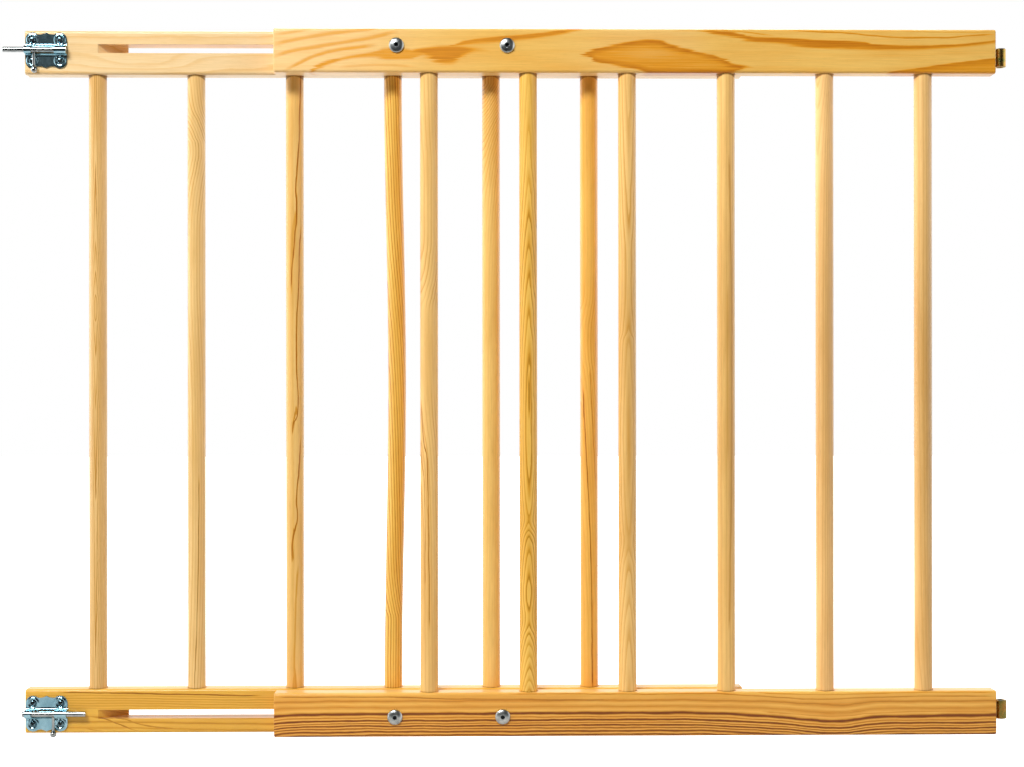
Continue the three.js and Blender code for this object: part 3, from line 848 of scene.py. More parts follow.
def make_hinge_eye(node, material):
    """Rolled eye with chamfered ends and the threaded shank that screws into the rail."""
    low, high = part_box(node)
    axis_x = high.x - 5.75 * MM
    mid = centre(node)
    height = high.z - low.z
    radius = 5.75 * MM
    ease = 0.6 * MM
    profile = [
        (radius - ease, 0), (radius, ease), (radius, height - ease), (radius - ease, height),
    ]
    eye = turned(node + "_eye", profile, 56, (axis_x, mid.y, low.z), (0, 0, 1))
    shank = thread("cutter", 3 * MM, (axis_x - 4.5 * MM, mid.y, mid.z), axis_x - 4.5 * MM - low.x)
    union = eye.modifiers.new("join", "BOOLEAN")
    union.operation = "UNION"
    union.solver = "EXACT"
    union.object = shank
    bpy.context.view_layer.update()
    bake_modifiers(eye)
    bpy.data.objects.remove(shank)
    bore_profile = (
        (3.25 * MM + ease, -1 * MM), (3.25 * MM + ease, 0), (3.25 * MM, ease), (3.25 * MM, height - ease),
        (3.25 * MM + ease, height), (3.25 * MM + ease, height + 1 * MM),
    )
    cut(eye, [turned("cutter", bore_profile, 48, (axis_x, mid.y, low.z), (0, 0, 1))])
    smooth(eye)
    stand_in(eye, node, material)


def thread(name, radius, start, length):
    """A rod along -X with the grooves of a coarse screw thread."""
    pitch = 1.25 * MM
    groove = 0.35 * MM
    profile = [(radius, 0), (radius, 1 * MM)]
    place = 1 * MM
    while place + pitch < length - 1 * MM:
        profile.append((radius - groove, place + pitch / 2))
        profile.append((radius, place + pitch))
        place += pitch
    profile.append((radius - groove, length))
    return turned(name, profile, 24, start, (-1, 0, 0))


# ---------- barrel bolts ----------

def plate_edge(x, half_width):
    """Half height of the scalloped plate at x from its middle."""
    x = abs(x)
    lobe_x = half_width - LOBE_RADIUS
    join_x = lobe_x - LOBE_RADIUS * math.cos(LOBE_END_ANGLE)
    join_y = LOBE_HEIGHT + LOBE_RADIUS * math.sin(LOBE_END_ANGLE)
    if x >= join_x:
        return LOBE_HEIGHT + math.sqrt(max(LOBE_RADIUS ** 2 - (x - lobe_x) ** 2, 0))
    dip_x, dip_y = SCALLOP_DIP
    low, high = 0.0, 1.0
    for _ in range(40):
        t = (low + high) / 2
        if 2 * t * (1 - t) * dip_x + t * t * join_x < x:
            low = t
        else:
            high = t
    return (1 - t) ** 2 * SCALLOP_CREST + 2 * t * (1 - t) * dip_y + t * t * join_y


def tunnel_path():
    """(across, lift) points of the tunnel's sheet from one foot over the rod to the other."""
    base = PLATE_THICKNESS / 2
    points = []
    steps = 6
    for i in range(steps + 1):
        t = i / steps
        across = (1 - t) ** 2 * -TUNNEL_FOOT + 2 * t * (1 - t) * -TUNNEL_RADIUS + t * t * -TUNNEL_RADIUS
        lift = (1 - t) ** 2 * base + 2 * t * (1 - t) * base + t * t * ROD_LIFT * 0.72
        points.append((across, lift))
    arch = 16
    for i in range(arch + 1):
        turn = math.pi * i / arch
        points.append((-TUNNEL_RADIUS * math.cos(turn), ROD_LIFT + TUNNEL_RADIUS * math.sin(turn)))
    points += [(-across, lift) for across, lift in reversed(points[:steps + 1])]
    return points


def make_plate(node, material):
    """The latch's plate, pressed from one sheet, with a raised tunnel, window and screw rims."""
    low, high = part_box(node)
    mid = centre(node)
    half_width = (high.x - low.x) / 2
    columns = 112
    flat_rows = 24
    screws = [centre(f"{node.split('_')[0]}_latch_screw_{i}") for i in range(1, 5)]
    tunnel = tunnel_path()
    window = [
        low.x - PLATE_EDGE_INSET + WINDOW_START - mid.x,
        low.x - PLATE_EDGE_INSET + WINDOW_END - mid.x,
    ]
    bm = bmesh.new()
    rings = []
    for i in range(columns + 1):
        even = 2 * i / columns - 1
        eased = -math.cos(math.pi * i / columns)
        x = half_width * (0.65 * even + 0.35 * eased)
        edge = plate_edge(x, half_width)
        ring = []
        for k in range(flat_rows):
            z = -edge + (edge - TUNNEL_FOOT) * k / flat_rows
            ring.append((x, z, PLATE_THICKNESS / 2))
        ring += [(x, across, lift) for across, lift in tunnel]
        for k in range(1, flat_rows + 1):
            z = TUNNEL_FOOT + (edge - TUNNEL_FOOT) * k / flat_rows
            ring.append((x, z, PLATE_THICKNESS / 2))
        rings.append(ring)
    made = []
    for ring in rings:
        row = []
        for x, z, lift in ring:
            on_arch = max(0.0, lift - PLATE_THICKNESS / 2) / (ROD_LIFT + TUNNEL_RADIUS)
            for place, sign in ((window[0], -1), (window[1], 1)):
                near = max(0.0, 1 - abs(x - place) / (3 * MM))
                x -= sign * near * on_arch * 1.3 * MM
            for screw in screws:
                away = math.hypot(x + mid.x - screw.x, z + mid.z - screw.z)
                crest = math.exp(-((away - RIM_RADIUS) / RIM_WIDTH) ** 2)
                lift += RIM_HEIGHT * crest
            row.append(bm.verts.new((mid.x + x, high.y - lift, mid.z + z)))
        made.append(row)
    grid_faces(bm, made, closed=False)
    gone = []
    for face in bm.faces:
        spot = face.calc_center_median()
        x = spot.x - mid.x
        lift = high.y - spot.y
        if window[0] < x < window[1] and lift > WINDOW_SILL and abs(spot.z - mid.z) < TUNNEL_FOOT:
            gone.append(face)
    bmesh.ops.delete(bm, geom=gone, context="FACES")
    plate = from_bmesh(node + "_pressing", bm)
    solidify = plate.modifiers.new("sheet", "SOLIDIFY")
    solidify.thickness = TUNNEL_WALL
    solidify.offset = 0.0
    solidify.use_even_offset = True
    bake_modifiers(plate)
    smooth(plate, 50)
    stand_in(plate, node, material)


def make_rod(node, material):
    low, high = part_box(node)
    mid = centre(node)
    radius = (high.z - low.z) / 2
    length = high.x - low.x
    ease = 0.7 * MM
    profile = [
        (0, 0), (radius - ease, 0), (radius - 0.2 * MM, ease * 0.5), (radius, ease * 1.2),
        (radius, length / 2), (radius, length - ease * 1.2), (radius - 0.2 * MM, length - ease * 0.5),
        (radius - ease, length), (0, length),
    ]
    rod = turned(node + "_bar", profile, 40, (low.x, mid.y, mid.z), (1, 0, 0))
    smooth(rod)
    stand_in(rod, node, material)


def make_lever(node, material):
    low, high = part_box(node)
    mid = centre(node)
    knob = (high.x - low.x) / 2
    stem = 1.4 * MM
    length = high.z - low.z
    profile = [(0, 0), (stem, 0), (stem, length - 2 * knob - 1.2 * MM)]
    neck = [(stem * 0.9, length - 2 * knob - 0.9 * MM), (stem * 1.5, length - 2 * knob - 0.5 * MM)]
    profile += neck
    steps = 14
    for i in range(2, steps + 1):
        turn = math.pi * i / steps
        profile.append((knob * math.sin(turn), length - knob - knob * math.cos(turn)))
    profile[-1] = (0.0, length)
    lever = turned(node + "_pin", profile, 36, (mid.x, mid.y, high.z), (0, 0, -1))
    smooth(lever, 45)
    stand_in(lever, node, material)


def make_screw(node, material, recess, turn_degrees):
    """A raised countersunk screw with a cross recess."""
    low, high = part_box(node)
    mid = centre(node)
    radius = (high.z - low.z) / 2
    head = 1.4 * MM
    seat = low.y + head
    profile = [(0, -(high.y - seat)), (1.5 * MM, -(high.y - seat) * 0.75), (1.5 * MM, 0)]
    profile += [(radius * 0.97, 0), (radius, 0.15 * MM)]
    steps = 8
    for i in range(1, steps + 1):
        turn = math.pi / 2 * i / steps
        profile.append((radius * math.cos(turn), 0.15 * MM + (head - 0.15 * MM) * math.sin(turn)))
    profile[-1] = (0.0, head)
    screw = turned(node + "_head", profile, 40, (mid.x, seat, mid.z), (0, -1, 0))
    top = (mid.x, low.y, mid.z)
    cut(screw, [cross_cutter(top, radius, turn_degrees)])
    smooth(screw)
    screw.data.materials.append(material)
    darken_recess(screw, top, (0, -1, 0), 0.75 * radius, recess)
    stand_in(screw, node, material)


def cross_cutter(crown, radius, turn_degrees):
    """A tapering cross for a screw's recess, pointing into +Y."""
    arm = radius * 0.58
    thick = radius * 0.24
    outline = [
        (thick, thick), (thick, arm), (-thick, arm), (-thick, thick), (-arm, thick), (-arm, -thick),
        (-thick, -thick), (-thick, -arm), (thick, -arm), (thick, -thick), (arm, -thick), (arm, thick),
    ]
    turn = math.radians(turn_degrees)
    rings = []
    for depth, size in ((-1 * MM, 1.15), (1.25 * MM, 0.6)):
        ring = []
        for a, b in outline:
            x = size * (a * math.cos(turn) - b * math.sin(turn))
            z = size * (a * math.sin(turn) + b * math.cos(turn))
            ring.append((crown[0] + x, crown[1] + depth, crown[2] + z))
        rings.append(ring)
    return swept("cutter", rings)


# ---------- the wood of each piece ----------

# How dark one growth ring is from its early wood to its late wood
LATEWOOD = ((0.0, 0.0), (0.35, 0.05), (0.66, 0.40), (0.84, 1.0), (0.93, 0.85), (1.0, 0.0))
CATHEDRAL = ((0.0, 0.75), (0.10, 1.0), (0.32, 0.55), (0.62, 0.10), (0.90, 0.0), (1.0, 0.35))


def ring_profile(lines, low, high):
    """A darkness profile from (place, darkness, thickness) lines across a rail's front."""
    span = high - low
    stops = [(0.0, 0.0)]
    for place, darkness, thickness in lines:
        middle = (place - low) / span
        wide = thickness / span
        stops.append((max(middle - 0.8 * wide, stops[-1][0] + 0.001), 0.0))
        stops.append((middle, darkness))
        stops.append((middle + 0.5 * wide, darkness * 0.3))
    stops.append((1.0, 0.0))
    return stops


# Growth lines across the bottom rails' fronts: millimetres from the middle, darkness, thickness
HINGE_BOTTOM_LINES = (
    (-20.4, 0.7, 2.2), (-17.2, 0.8, 2.8), (-14.2, 0.65, 2.4), (-11.6, 0.9, 2.5), (-9.0, 0.6, 2.0),
    (-6.2, 0.9, 2.8), (-3.2, 0.5, 2.4), (0.6, 0.95, 3.6), (7.4, 0.38, 4.4), (13.6, 0.45, 3.6),
)
LATCH_BOTTOM_LINES = (
    (-18.0, 0.5, 2.4), (-12.0, 0.6, 2.6), (-6.5, 0.5, 2.2), (1.5, 0.35, 1.6), (4.2, 0.45, 1.5),
    (6.8, 0.5, 1.4), (9.2, 0.5, 1.3), (11.6, 0.55, 1.3), (14.2, 0.5, 1.2),
)

HONEY = (srgb(245, 196, 101), srgb(235, 158, 35), srgb(196, 113, 8))
CREAM = (srgb(244, 211, 157), srgb(229, 178, 99), srgb(189, 122, 48))
AMBER = (srgb(254, 197, 93), srgb(225, 147, 46), srgb(128, 66, 2))
TOAST = (srgb(243, 188, 74), srgb(216, 152, 42), srgb(147, 87, 9))

RAIL_FIGURES = {
    "hinge_top_rail": (HONEY, {
        "seed": 3.1, "pitch": 15.0, "contrast": 0.12, "wander": 14.0, "slant": 0.5,
        # painted light: lighter towards the right-hand end, where the key light falls off
        "tone_and_painted_light": ((-362, 1.0), (60, 1.0), (150, 1.05), (270, 1.08), (362, 1.08)),
        "pale": (srgb(253, 211, 143), ((-362, 1.0), (-300, 0.9), (-240, 0.5), (-170, 0.1), (-120, 0.0),
                                       (-60, 0.1), (0, 0.3), (40, 0.3), (90, 0.0), (362, 0.0))),
        "bands": (
            {"upper": ((-330, -30), (-318, -15), (-300, -8), (-282, -4), (-262, -1), (-245, 3), (-225, 2),
                       (-210, -3), (-195, -20)),
             "lower": ((-330, -31), (-318, -21), (-300, -14), (-282, -9), (-262, -8), (-245, -10), (-225, -10),
                       (-210, -6), (-195, -21)),
             "strength": 0.55, "soft": (2.5, 2.5), "heart": 1.0},
            {"upper": ((-240, -12), (-225, 0), (-205, 4), (-188, 5.5), (-165, 4), (-148, 1), (-135, -8)),
             "lower": ((-240, -13), (-225, -5), (-205, -9), (-188, -15), (-172, -8), (-150, -2), (-135, -9)),
             "strength": 0.8, "soft": (3.5, 6.0), "heart": 1.0},
            {"upper": ((-205, 0), (-185, 5), (-165, 11), (-135, 14.5), (-105, 17), (-75, 21), (-50, 25), (-35, 24)),
             "lower": ((-205, -1), (-185, 2), (-165, 5), (-135, 7.5), (-105, 10.5), (-75, 15), (-50, 21),
                       (-35, 25)),
             "strength": 0.75, "soft": (1.6, 3.0), "heart": 1.0},
            {"upper": ((-66, -14), (-54, -3.5), (-36, 3.5), (-10, 9), (16, 11.8), (34, 7.5), (60, 0.5),
                       (84, -6), (98, -12), (116, -15), (128, -20)),
             "lower": ((-66, -13), (-54, -6), (-40, -12), (-20, -16), (0, -19), (24, -24), (60, -24),
                       (84, -24), (98, -22), (116, -17), (128, -19)),
             "strength": 1.0, "soft": (2.4, 2.4), "heart": 0.6},
            {"upper": ((30, 18), (55, 21), (80, 20.5), (100, 18), (120, 14), (145, 13.5), (180, 11.5), (205, 11),
                       (225, 9.5), (245, 7), (275, 6.2), (305, 6.8), (335, 8.6), (350, 10.2), (362, 12)),
             "lower": ((30, 19), (55, 19.5), (80, 15.5), (100, 12), (120, 8), (145, 6), (180, 1.8), (205, 1.4),
                       (225, 0.8), (245, 0.2), (275, 0.8), (305, 2.2), (335, 4.4), (350, 6), (362, 8)),
             "strength": 0.95, "soft": (1.2, 3.4), "heart": 0.95},
            {"upper": ((235, -26), (262, -18.8), (285, -16), (305, -12.5), (330, -9.5), (362, -6)),
             "lower": ((235, -27), (262, -30), (285, -30), (305, -30), (330, -30), (362, -30)),
             "strength": 0.85, "soft": (1.2, 2.0), "heart": 0.7},
        ),
        "clearings": ((14, -3, 26, 6.0, 0.35), (70, -14, 25, 4.0, 0.12)),
        "lines": (
            (((-364, -8), (-340, -1), (-310, 4), (-282, 9), (-258, 13), (-235, 19)), 3.0, 0.42, 0.9),
            (((-364, 5), (-332, 11), (-300, 16.5), (-272, 20), (-250, 22)), 3.0, 0.40, 0.9),
            (((-364, 14), (-338, 18), (-318, 21)), 2.2, 0.30, 0.9),
            (((-352, -22), (-336, -14), (-318, -6), (-300, -1), (-280, 2), (-255, 5)), 2.8, 0.45, 0.9),
            (((-300, -18), (-280, -16), (-250, -15), (-215, -17)), 2.0, 0.25, 0.9),
            (((150, 20.5), (185, 19), (215, 17.4), (240, 14.8), (270, 13.2), (300, 13.2), (330, 15), (362, 17)),
             1.2, 0.75),
            (((262, 20.3), (300, 19.2), (362, 19.0)), 0.8, 0.45),
            (((60, 21.0), (80, 20.5), (105, 18.6), (140, 14.6)), 1.0, 0.6),
        ),
    }),
    "hinge_bottom_rail": (AMBER, {
        "seed": 5.7, "contrast": 1.5, "slant": 0.42, "wander": 1.6, "ripple": 2.4, "ripple_u": 0.035,
        # painted light: lighter towards the right-hand end, where the key light falls off
        "tone_and_painted_light": ((-362, 0.97), (-150, 1.0), (60, 1.0), (150, 1.03), (362, 1.05)),
        "drift": ((-362, -2.5), (-340, -0.6), (-250, 0.5), (-100, 0.6), (40, 0.6), (80, -0.2), (120, -2.2),
                  (150, -4.2), (180, -7.2), (200, -8.2), (218, -7.0), (240, -4.4), (262, -3.7), (300, -3.6),
                  (362, -3.0)),
        "drift_fades": (-4.0, 20.0),
        "profile_span": (-32.0, 24.0),
        "profile": ring_profile(HINGE_BOTTOM_LINES, -32.0, 24.0),
        "lines": (
            (((-130, 20.4), (-60, 20), (0, 19.6), (60, 20), (110, 18), (150, 15.5), (185, 14), (225, 15.2),
              (300, 16.6), (362, 16)), 1.3, 0.6),
            (((-362, 17.8), (-250, 17.6), (-180, 15.6), (-100, 14.6), (-20, 13.6)), 1.2, 0.75),
            (((110, 21.5), (150, 19.4), (185, 18.6), (230, 19.4), (300, 20.4), (362, 20)), 1.1, 0.5),
            (((120, 6.2), (160, 3.8), (195, 1.6), (230, 4), (300, 5.4), (362, 5.2)), 1.4, 0.5),
            (((120, 2.2), (160, -0.6), (195, -2.9), (230, -0.6), (300, 1.4), (362, 1.2)), 1.2, 0.5),
        ),
    }),
    "latch_top_rail": (CREAM, {
        "seed": 8.2, "pitch": 8.5, "wander": 12.0, "ripple": 5.0, "contrast": 0.38, "slant": 0.6,
        "swirls": ((-240, -10, 60, 9, 1.2), (-150, -6, 70, 8, -1.0)),
    }),
    "latch_bottom_rail": (TOAST, {
        "seed": 1.4, "slant": 0.42, "wander": 1.6, "ripple": 1.8, "ripple_u": 0.03, "contrast": 1.2,
        "drift": ((-362, 2.0), (-250, 1.0), (-150, -1.0), (0, -1.5), (150, 1.0), (362, 0.0)),
        "profile_span": (-32.0, 24.0),
        "profile": ring_profile(LATCH_BOTTOM_LINES, -32.0, 24.0),
        "lines": (
            (((-330, 18.6), (-270, 17.8), (-200, 16.0), (-120, 14.8)), 1.4, 0.95),
            (((-300, -5), (-282, -7.5), (-270, -12), (-258, -17), (-245, -21)), 1.6, 0.8),
            (((-282, -5.5), (-262, -8), (-248, -12.5), (-232, -16), (-200, -19)), 1.5, 0.7),
            (((-310, -14), (-298, -17.5), (-280, -20.5)), 1.4, 0.6),
            (((-248, 9.5), (-246.5, 11), (-245, 12.8)), 1.2, 0.9),
        ),
    }),
}

BAR_FIGURES = {
    "latch_bar_1": ((srgb(238, 196, 127), srgb(209, 155, 73), srgb(166, 107, 30)), {
        "seed": 0.3, "contrast": 0.85, "faintest": 0.7, "slant": 0.5,
        "chevrons": (((-316, 5.3), (-290, 5.0), (-130, 4.0), (-32, 3.0), (25, 2.0), (60, 1.0), (74, 0.45),
                      (88, 1.0), (112, 2.0), (142, 3.0), (200, 3.8), (316, 4.7)),
                     0.24, -0.8, 0.35),
    }),
    "latch_bar_2": ((srgb(243, 203, 134), srgb(216, 163, 79), srgb(159, 105, 28)), {
        "seed": 2.3, "pitch": 2.9, "slant": 0.3, "wander": 1.0, "ripple": 0.8, "contrast": 0.75,
        "drift": ((-316, -3.6), (-300, -3), (-230, -0.5), (-150, 1), (-100, 1), (0, 0), (50, -2), (100, -3.6),
                  (150, -3.4), (180, -1), (200, 2), (220, 6), (232, 7.4), (245, 4), (262, -3), (280, -10),
                  (316, -14)),
        "reach": ((-316, 0.7), (-100, 0.6), (0, 0.7), (160, 0.7), (240, 1.0), (300, 0.5), (316, 0.4)),
        "lines": ((((-316, -1.6), (-300, -1), (-230, 1.5), (-150, 3), (-90, 3.4)), 0.9, 0.9),),
    }),
    "latch_bar_3": ((srgb(242, 197, 117), srgb(218, 155, 55), srgb(166, 96, 15)), {
        "seed": 4.6, "pitch": 9.0, "slant": 0.5, "wander": 3.0, "contrast": 0.22,
        "bands": (
            {"upper": ((86, -4), (95, -2.6), (110, -2.2), (130, -0.8), (150, 0.8), (165, 2.4), (178, 1)),
             "lower": ((86, -3.4), (95, -4.0), (110, -4.6), (130, -4.4), (150, -3.4), (165, -1), (178, 2)),
             "strength": 0.55, "soft": (0.8, 2.0), "heart": 1.0},
            {"upper": ((-54, -3), (-50, -1.4), (-42, 0.2), (-30, 3.6), (-24, 3)),
             "lower": ((-54, -2), (-50, -2.8), (-42, -2.6), (-30, 0.6), (-24, 4)),
             "strength": 0.8, "soft": (0.8, 1.4), "heart": 1.0},
            {"upper": ((-182, -2), (-176, -0.2), (-165, -0.8), (-155, 0.2), (-146, 2.2), (-140, 1)),
             "lower": ((-182, -1.6), (-176, -2.6), (-165, -3.2), (-155, -2.4), (-146, 0), (-140, 2)),
             "strength": 0.9, "soft": (0.8, 1.2), "heart": 1.0},
            {"upper": ((-316, 3), (-300, 2.4), (-285, 1.0), (-276, -2)),
             "lower": ((-316, -3), (-300, -2.0), (-285, -0.6), (-276, -1)),
             "strength": 0.55, "soft": (1, 1), "heart": 1.0},
        ),
        "lines": (
            (((85, -3), (95, -3), (110, -2.5), (130, -1), (150, 0.5), (165, 2.3), (180, 2.4), (195, 1.6),
              (210, 2.5), (240, 4.5), (290, 6), (316, 7)), 1.3, 1.0),
            (((-56, -2), (-42, -1), (-38, 1), (-30, 3.5), (-20, 4), (0, 3), (20, 2), (50, 2), (90, 4),
              (130, 5.5), (160, 7)), 1.2, 1.0),
            (((-184, -1.5), (-165, -2), (-155, -1), (-145, 1.5), (-135, 3), (-120, 2), (-110, 2.5), (-90, 4.5),
              (-70, 5.5), (-50, 7)), 1.2, 1.0),
            (((-316, -0.4), (-280, 0), (-230, 1), (-180, 4)), 1.4, 0.5, 0.9),
        ),
    }),
    "latch_bar_4": ((srgb(250, 203, 98), srgb(223, 155, 49), srgb(167, 89, 9)), {
        "seed": 6.1, "pitch": 2.6, "slant": 0.15, "wander": 0.8, "ripple": 0.8, "faintest": 0.5,
        "drift": ((-316, 32.0), (-242, 32.0), (-230, 30.0), (-215, 27.0), (-190, 24.0), (-120, 20.5),
                  (-50, 17.5), (20, 14.0), (50, 12.0), (90, 9.0), (150, 5.0), (230, 2.5), (316, 0.0)),
    }),
    "latch_bar_5": ((srgb(249, 204, 116), srgb(226, 165, 69), srgb(183, 114, 27)), {
        "seed": 7.7, "pitch": 2.7, "slant": 0.3, "wander": 1.2, "contrast": 0.85, "faintest": 0.6,
        "drift": ((-316, -2), (-100, 0), (120, 2), (180, 6), (210, 10), (235, 16), (255, 24), (275, 36),
                  (300, 52)),
        "reach": ((-316, 0.14), (0, 0.16), (120, 0.2), (180, 0.45), (230, 0.8), (300, 1.0)),
    }),
    "latch_bar_6": ((srgb(251, 194, 91), srgb(230, 157, 55), srgb(163, 89, 13)), {
        "seed": 9.2, "pitch": 2.9, "slant": 0.3, "wander": 1.4, "ripple": 0.8, "contrast": 0.6,
        "drift": ((-316, 13.5), (-250, 13.5), (-200, 12), (-130, 9), (-80, 6), (-30, 3), (-10, 1),
                  (10, -1), (40, -3.6), (70, -1), (100, 2), (150, 2), (316, 0)),
        "reach": ((-316, 0.5), (-30, 0.8), (40, 1.1), (90, 0.8), (150, 0.4), (316, 0.4)),
        "lines": (
            (((-316, 2.7), (-300, 2.5), (-200, 1.5), (-100, -2), (-20, -6), (0, -7)), 1.0, 1.0),
            (((-110, 7), (-60, 4), (0, 1), (20, 0)), 0.9, 0.7),
        ),
    }),
    "hinge_bar_1": ((srgb(248, 203, 124), srgb(219, 158, 71), srgb(164, 101, 29)), {
        "seed": 10.4, "pitch": 3.4, "slant": 0.4, "wander": 1.4, "ripple": 0.6, "contrast": 0.6,
        "drift": ((-316, 1), (-200, 0), (-110, -2), (-70, -4.5), (-40, -8), (0, -11), (20, -12), (60, -13),
                  (85, -10), (105, -5), (125, -2), (150, 0), (200, 0), (250, -2), (316, -4)),
        "reach": ((-316, 0.5), (-110, 0.9), (-40, 1.0), (0, 0.25), (60, 0.25), (95, 1.1), (130, 1.0),
                  (200, 0.6), (316, 0.8)),
        "lines": (
            (((-250, 0), (-120, -1), (-80, -2), (-60, -5), (-30, -7), (-15, -8)), 1.0, 0.9),
            (((-210, -4), (-100, -5), (-80, -7), (-60, -8)), 0.9, 0.7),
        ),
    }),
    "hinge_bar_2": ((srgb(254, 205, 97), srgb(226, 161, 48), srgb(154, 99, 5)), {
        "seed": 11.9, "contrast": 0.9, "faintest": 0.6, "slant": 0.5, "line": CATHEDRAL,
        "chevrons": (((-316, -9.0), (-290, -6.4), (-260, -4.0), (-250, -3.0), (-242, -2.0), (-233, -1.7),
                      (-225, -2.0), (-210, -2.4), (-195, -2.0), (-170, -1.0), (-155, 0.0), (-148, 1.0),
                      (-140, 2.0), (-135, 2.2), (-130, 2.0), (-95, 1.0), (-50, 0.6), (15, 1.0), (65, 2.0),
                      (103, 3.0), (135, 4.0), (165, 5.0), (200, 6.0), (240, 6.9), (316, 8.2)),
                     0.10, 0.4, 0.7),
        "reach": ((-316, 0.8), (-100, 1.0), (60, 1.0), (180, 0.9), (230, 0.6), (316, 0.45)),
        "lines": ((((-40, 0.2), (-20, 0.4), (0, 0.3), (12, 0)), 2.0, 0.8, 0.9),),
    }),
    "hinge_bar_3": ((srgb(253, 207, 127), srgb(227, 168, 79), srgb(173, 113, 31)), {
        "tone_and_painted_light": ((-316, 1.04), (-200, 1.0), (-60, 0.93), (40, 0.93), (130, 0.98), (220, 1.04), (316, 1.06)),
        "seed": 13.3, "contrast": 0.6, "faintest": 0.6, "slant": 0.5, "line": CATHEDRAL,
        "chevrons": (((-316, -4.0), (-255, -3.0), (-220, -2.0), (-185, -1.0), (-165, 0.0), (-157, 0.2),
                      (-150, 0.0), (-110, -0.6), (-50, -0.9), (0, -0.5), (40, 0.0), (52, 1.0), (110, 1.7),
                      (168, 1.0), (230, 0.3), (316, -0.5)),
                     0.08, 0.8, 0.35),
    }),
    "hinge_bar_4": ((srgb(249, 202, 120), srgb(224, 166, 82), srgb(174, 114, 36)), {
        "tone_and_painted_light": ((-316, 1.04), (-200, 1.0), (-60, 0.93), (40, 0.93), (130, 0.98), (220, 1.04), (316, 1.06)),
        "seed": 14.8, "pitch": 4.0, "slant": 0.5, "wander": 1.6, "ripple": 0.5, "contrast": 0.45,
        "lines": (
            (((-250, 1.6), (-150, 3.4), (-60, 4.6), (40, 4.8), (130, 3.8), (230, 2.2)), 1.7, 0.6, 0.9),
            (((-80, 0.6), (0, 0.2), (100, 0.4)), 1.2, 0.4, 0.9),
        ),
    }),
    "hinge_bar_5": ((srgb(253, 205, 132), srgb(231, 170, 92), srgb(183, 119, 50)), {
        "tone_and_painted_light": ((-316, 1.04), (-200, 1.0), (-60, 0.9), (40, 0.88), (130, 0.96), (220, 1.06), (316, 1.1)),
        "seed": 16.1, "pitch": 2.3, "slant": 0.6, "wander": 1.2, "ripple": 0.5, "contrast": 0.45,
        "drift": ((-316, -1), (-100, 0), (180, 1), (240, 2.4), (290, 6), (316, 9)),
    }),
    "hinge_bar_6": ((srgb(247, 199, 125), srgb(224, 165, 84), srgb(178, 116, 46)), {
        "tone_and_painted_light": ((-316, 1.04), (-200, 1.0), (-60, 0.9), (40, 0.88), (130, 0.96), (220, 1.06), (316, 1.1)),
        "seed": 17.6, "pitch": 3.2, "slant": 0.6, "wander": 1.2, "ripple": 0.5, "contrast": 0.42,
        "drift": ((-316, 5), (-260, 2), (-150, 0), (316, -1)),
    }),
}


# ---------- camera, light and floor ----------

def make_camera():
    """The camera stands level in front of the gate, a little to the left of its middle."""
    low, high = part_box("hinge_top_rail")
    bottom_low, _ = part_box("hinge_bottom_rail")
    mid_z = (high.z + bottom_low.z) / 2
    place = Vector((low.x + 0.2059, low.y - 1.8583, mid_z - 0.0017))
    yaw, pitch, roll = 0.01648, 0.00037, -0.00089
    right = Vector((math.cos(yaw), -math.sin(yaw), 0))
    ahead = Vector((math.sin(yaw) * math.cos(pitch), math.cos(yaw) * math.cos(pitch), math.sin(pitch)))
    up = right.cross(ahead)
    rolled_right = math.cos(roll) * right + math.sin(roll) * up
    rolled_up = math.cos(roll) * up - math.sin(roll) * right
    data = bpy.data.cameras.new("camera")
    data.sensor_width = 36
    data.lens = 65.76
    camera = bpy.data.objects.new("camera", data)
    bpy.context.scene.collection.objects.link(camera)
    axes = Matrix((rolled_right, rolled_up, -ahead)).transposed()
    camera.matrix_world = Matrix.Translation(place) @ axes.to_4x4()
    bpy.context.scene.camera = camera


def area_light(name, place, target, size, power, colour=(1, 1, 1)):
    data = bpy.data.lights.new(name, "AREA")
    data.shape = "RECTANGLE"
    data.size, data.size_y = size
    data.energy = power
    data.color = colour
    light = bpy.data.objects.new(name, data)
    bpy.context.scene.collection.objects.link(light)
    aim = (Vector(target) - Vector(place)).to_track_quat("-Z", "Y")
    light.matrix_world = Matrix.Translation(place) @ aim.to_matrix().to_4x4()


